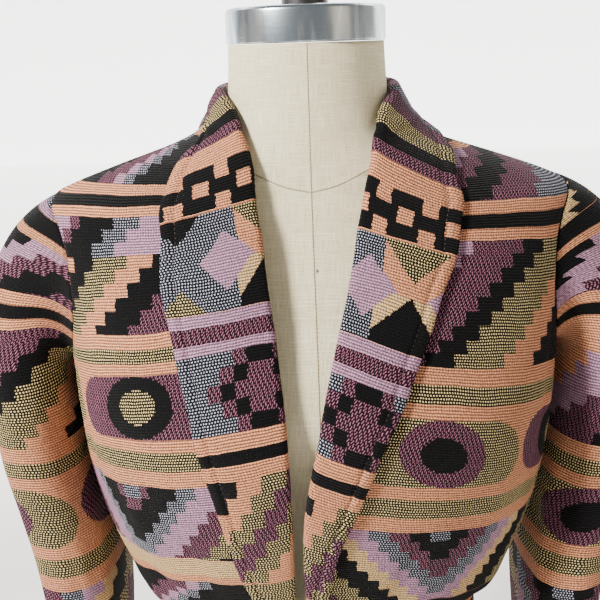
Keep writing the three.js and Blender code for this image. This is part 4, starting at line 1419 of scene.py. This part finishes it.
for name, table, side, tilt in (("collar_left", COLLAR_LEFT, -1, 0.16),
                                ("collar_right", COLLAR_RIGHT, 1, 0.36)):
    piece = finish_mesh(name + "_cloth", collar_mesh(table, side, tilt), CLOTHS[name], name,
                        "blanket_cotton")
    thicken(piece, COLLAR, 0.0)
    stitches = stitch_line(name + "_stitches", collar_stitches(table, side), DARK_THREAD)

for name, side in (("sleeve_left", -1), ("sleeve_right", 1)):
    stitches = stitch_line(name + "_stitches", sleeve_stitches(side), DARK_THREAD)

# The buttonhole: its height, the directions of its ends, and half its opening. Its two edges lie
# just over the waistband's upper end.
HOLE_HEIGHT = 466
HOLE_START = -17.6
HOLE_END = -2.4
HOLE_HALF = 1.0
band = finish_mesh("waistband_cloth", waistband_mesh(), CLOTHS["back"], "waistband",
                   "blanket_cotton")
thicken(band, BAND_WALL)
rows = [stitch_line(name, band_stitches(z), DARK_THREAD) for name, z in BAND_STITCHES]
hole = band_path(HOLE_HEIGHT, [(lerp(HOLE_START, HOLE_END, k / 30), 4.05) for k in range(31)])
for name, up in (("buttonhole_upper", HOLE_HALF), ("buttonhole_lower", -HOLE_HALF)):
    edge = [(point + Vector((0, 0, up)), out) for point, out in hole]
    rows.append(stitch_line(name, edge, BLACK_THREAD, 0.5, 0.3, 0.9))

# The button lies on the band, with two bars of thread through its holes.
BUTTON_TURN = -15.5
seat = band_point(HOLE_HEIGHT, BUTTON_TURN, 5)
away = (band_point(HOLE_HEIGHT, BUTTON_TURN, 15) - seat).normalized()
button = finish_mesh("horn_button", button_mesh(), HORN, "button", "dark_button")
upright = Vector((0, 0, 1)).rotation_difference(away).to_matrix().to_4x4()
button.data.transform(Matrix.Translation(seat * MM) @ upright)
for name, x in (("button_thread_a", -HOLE_OFF), ("button_thread_b", HOLE_OFF)):
    ends = [(upright @ Vector((x, y, 2.9)) + seat, away) for y in (-2.4, 2.4)]
    stitch_line(name, ends, BLACK_THREAD, 4.6, 0.0, 0.5)

# Pale floor and backdrop of painted board, and soft studio light from the upper left
BOARD_HALF = 14
board = bmesh.new()
bmesh.ops.create_grid(board, x_segments=1, y_segments=1, size=BOARD_HALF)
painted_board("floor", board, "#f4f3f1", 2.4)
board = bmesh.new()
bmesh.ops.create_grid(board, x_segments=1, y_segments=1, size=BOARD_HALF,
                      matrix=Matrix.Translation((0, 7, 0)) @ Matrix.Rotation(math.pi / 2, 4, "X"))
painted_board("backdrop", board, "#f7f7f6", 3.0)

softbox("key", (-1.4, -1.1, 1.85), (0, 0, 0.75), (0.4, 0.4), 150, "#fffaf2")
softbox("fill", (1.5, -1.3, 1.0), (0, 0, 0.75), (0.9, 1.6), 9, "#ffe4c4")
world = bpy.data.worlds.new("studio")
bpy.context.scene.world = world
world.use_nodes = True
room = world.node_tree.nodes["Background"].inputs
room["Color"].default_value = colour("#fbfaf8")
room["Strength"].default_value = 0.42
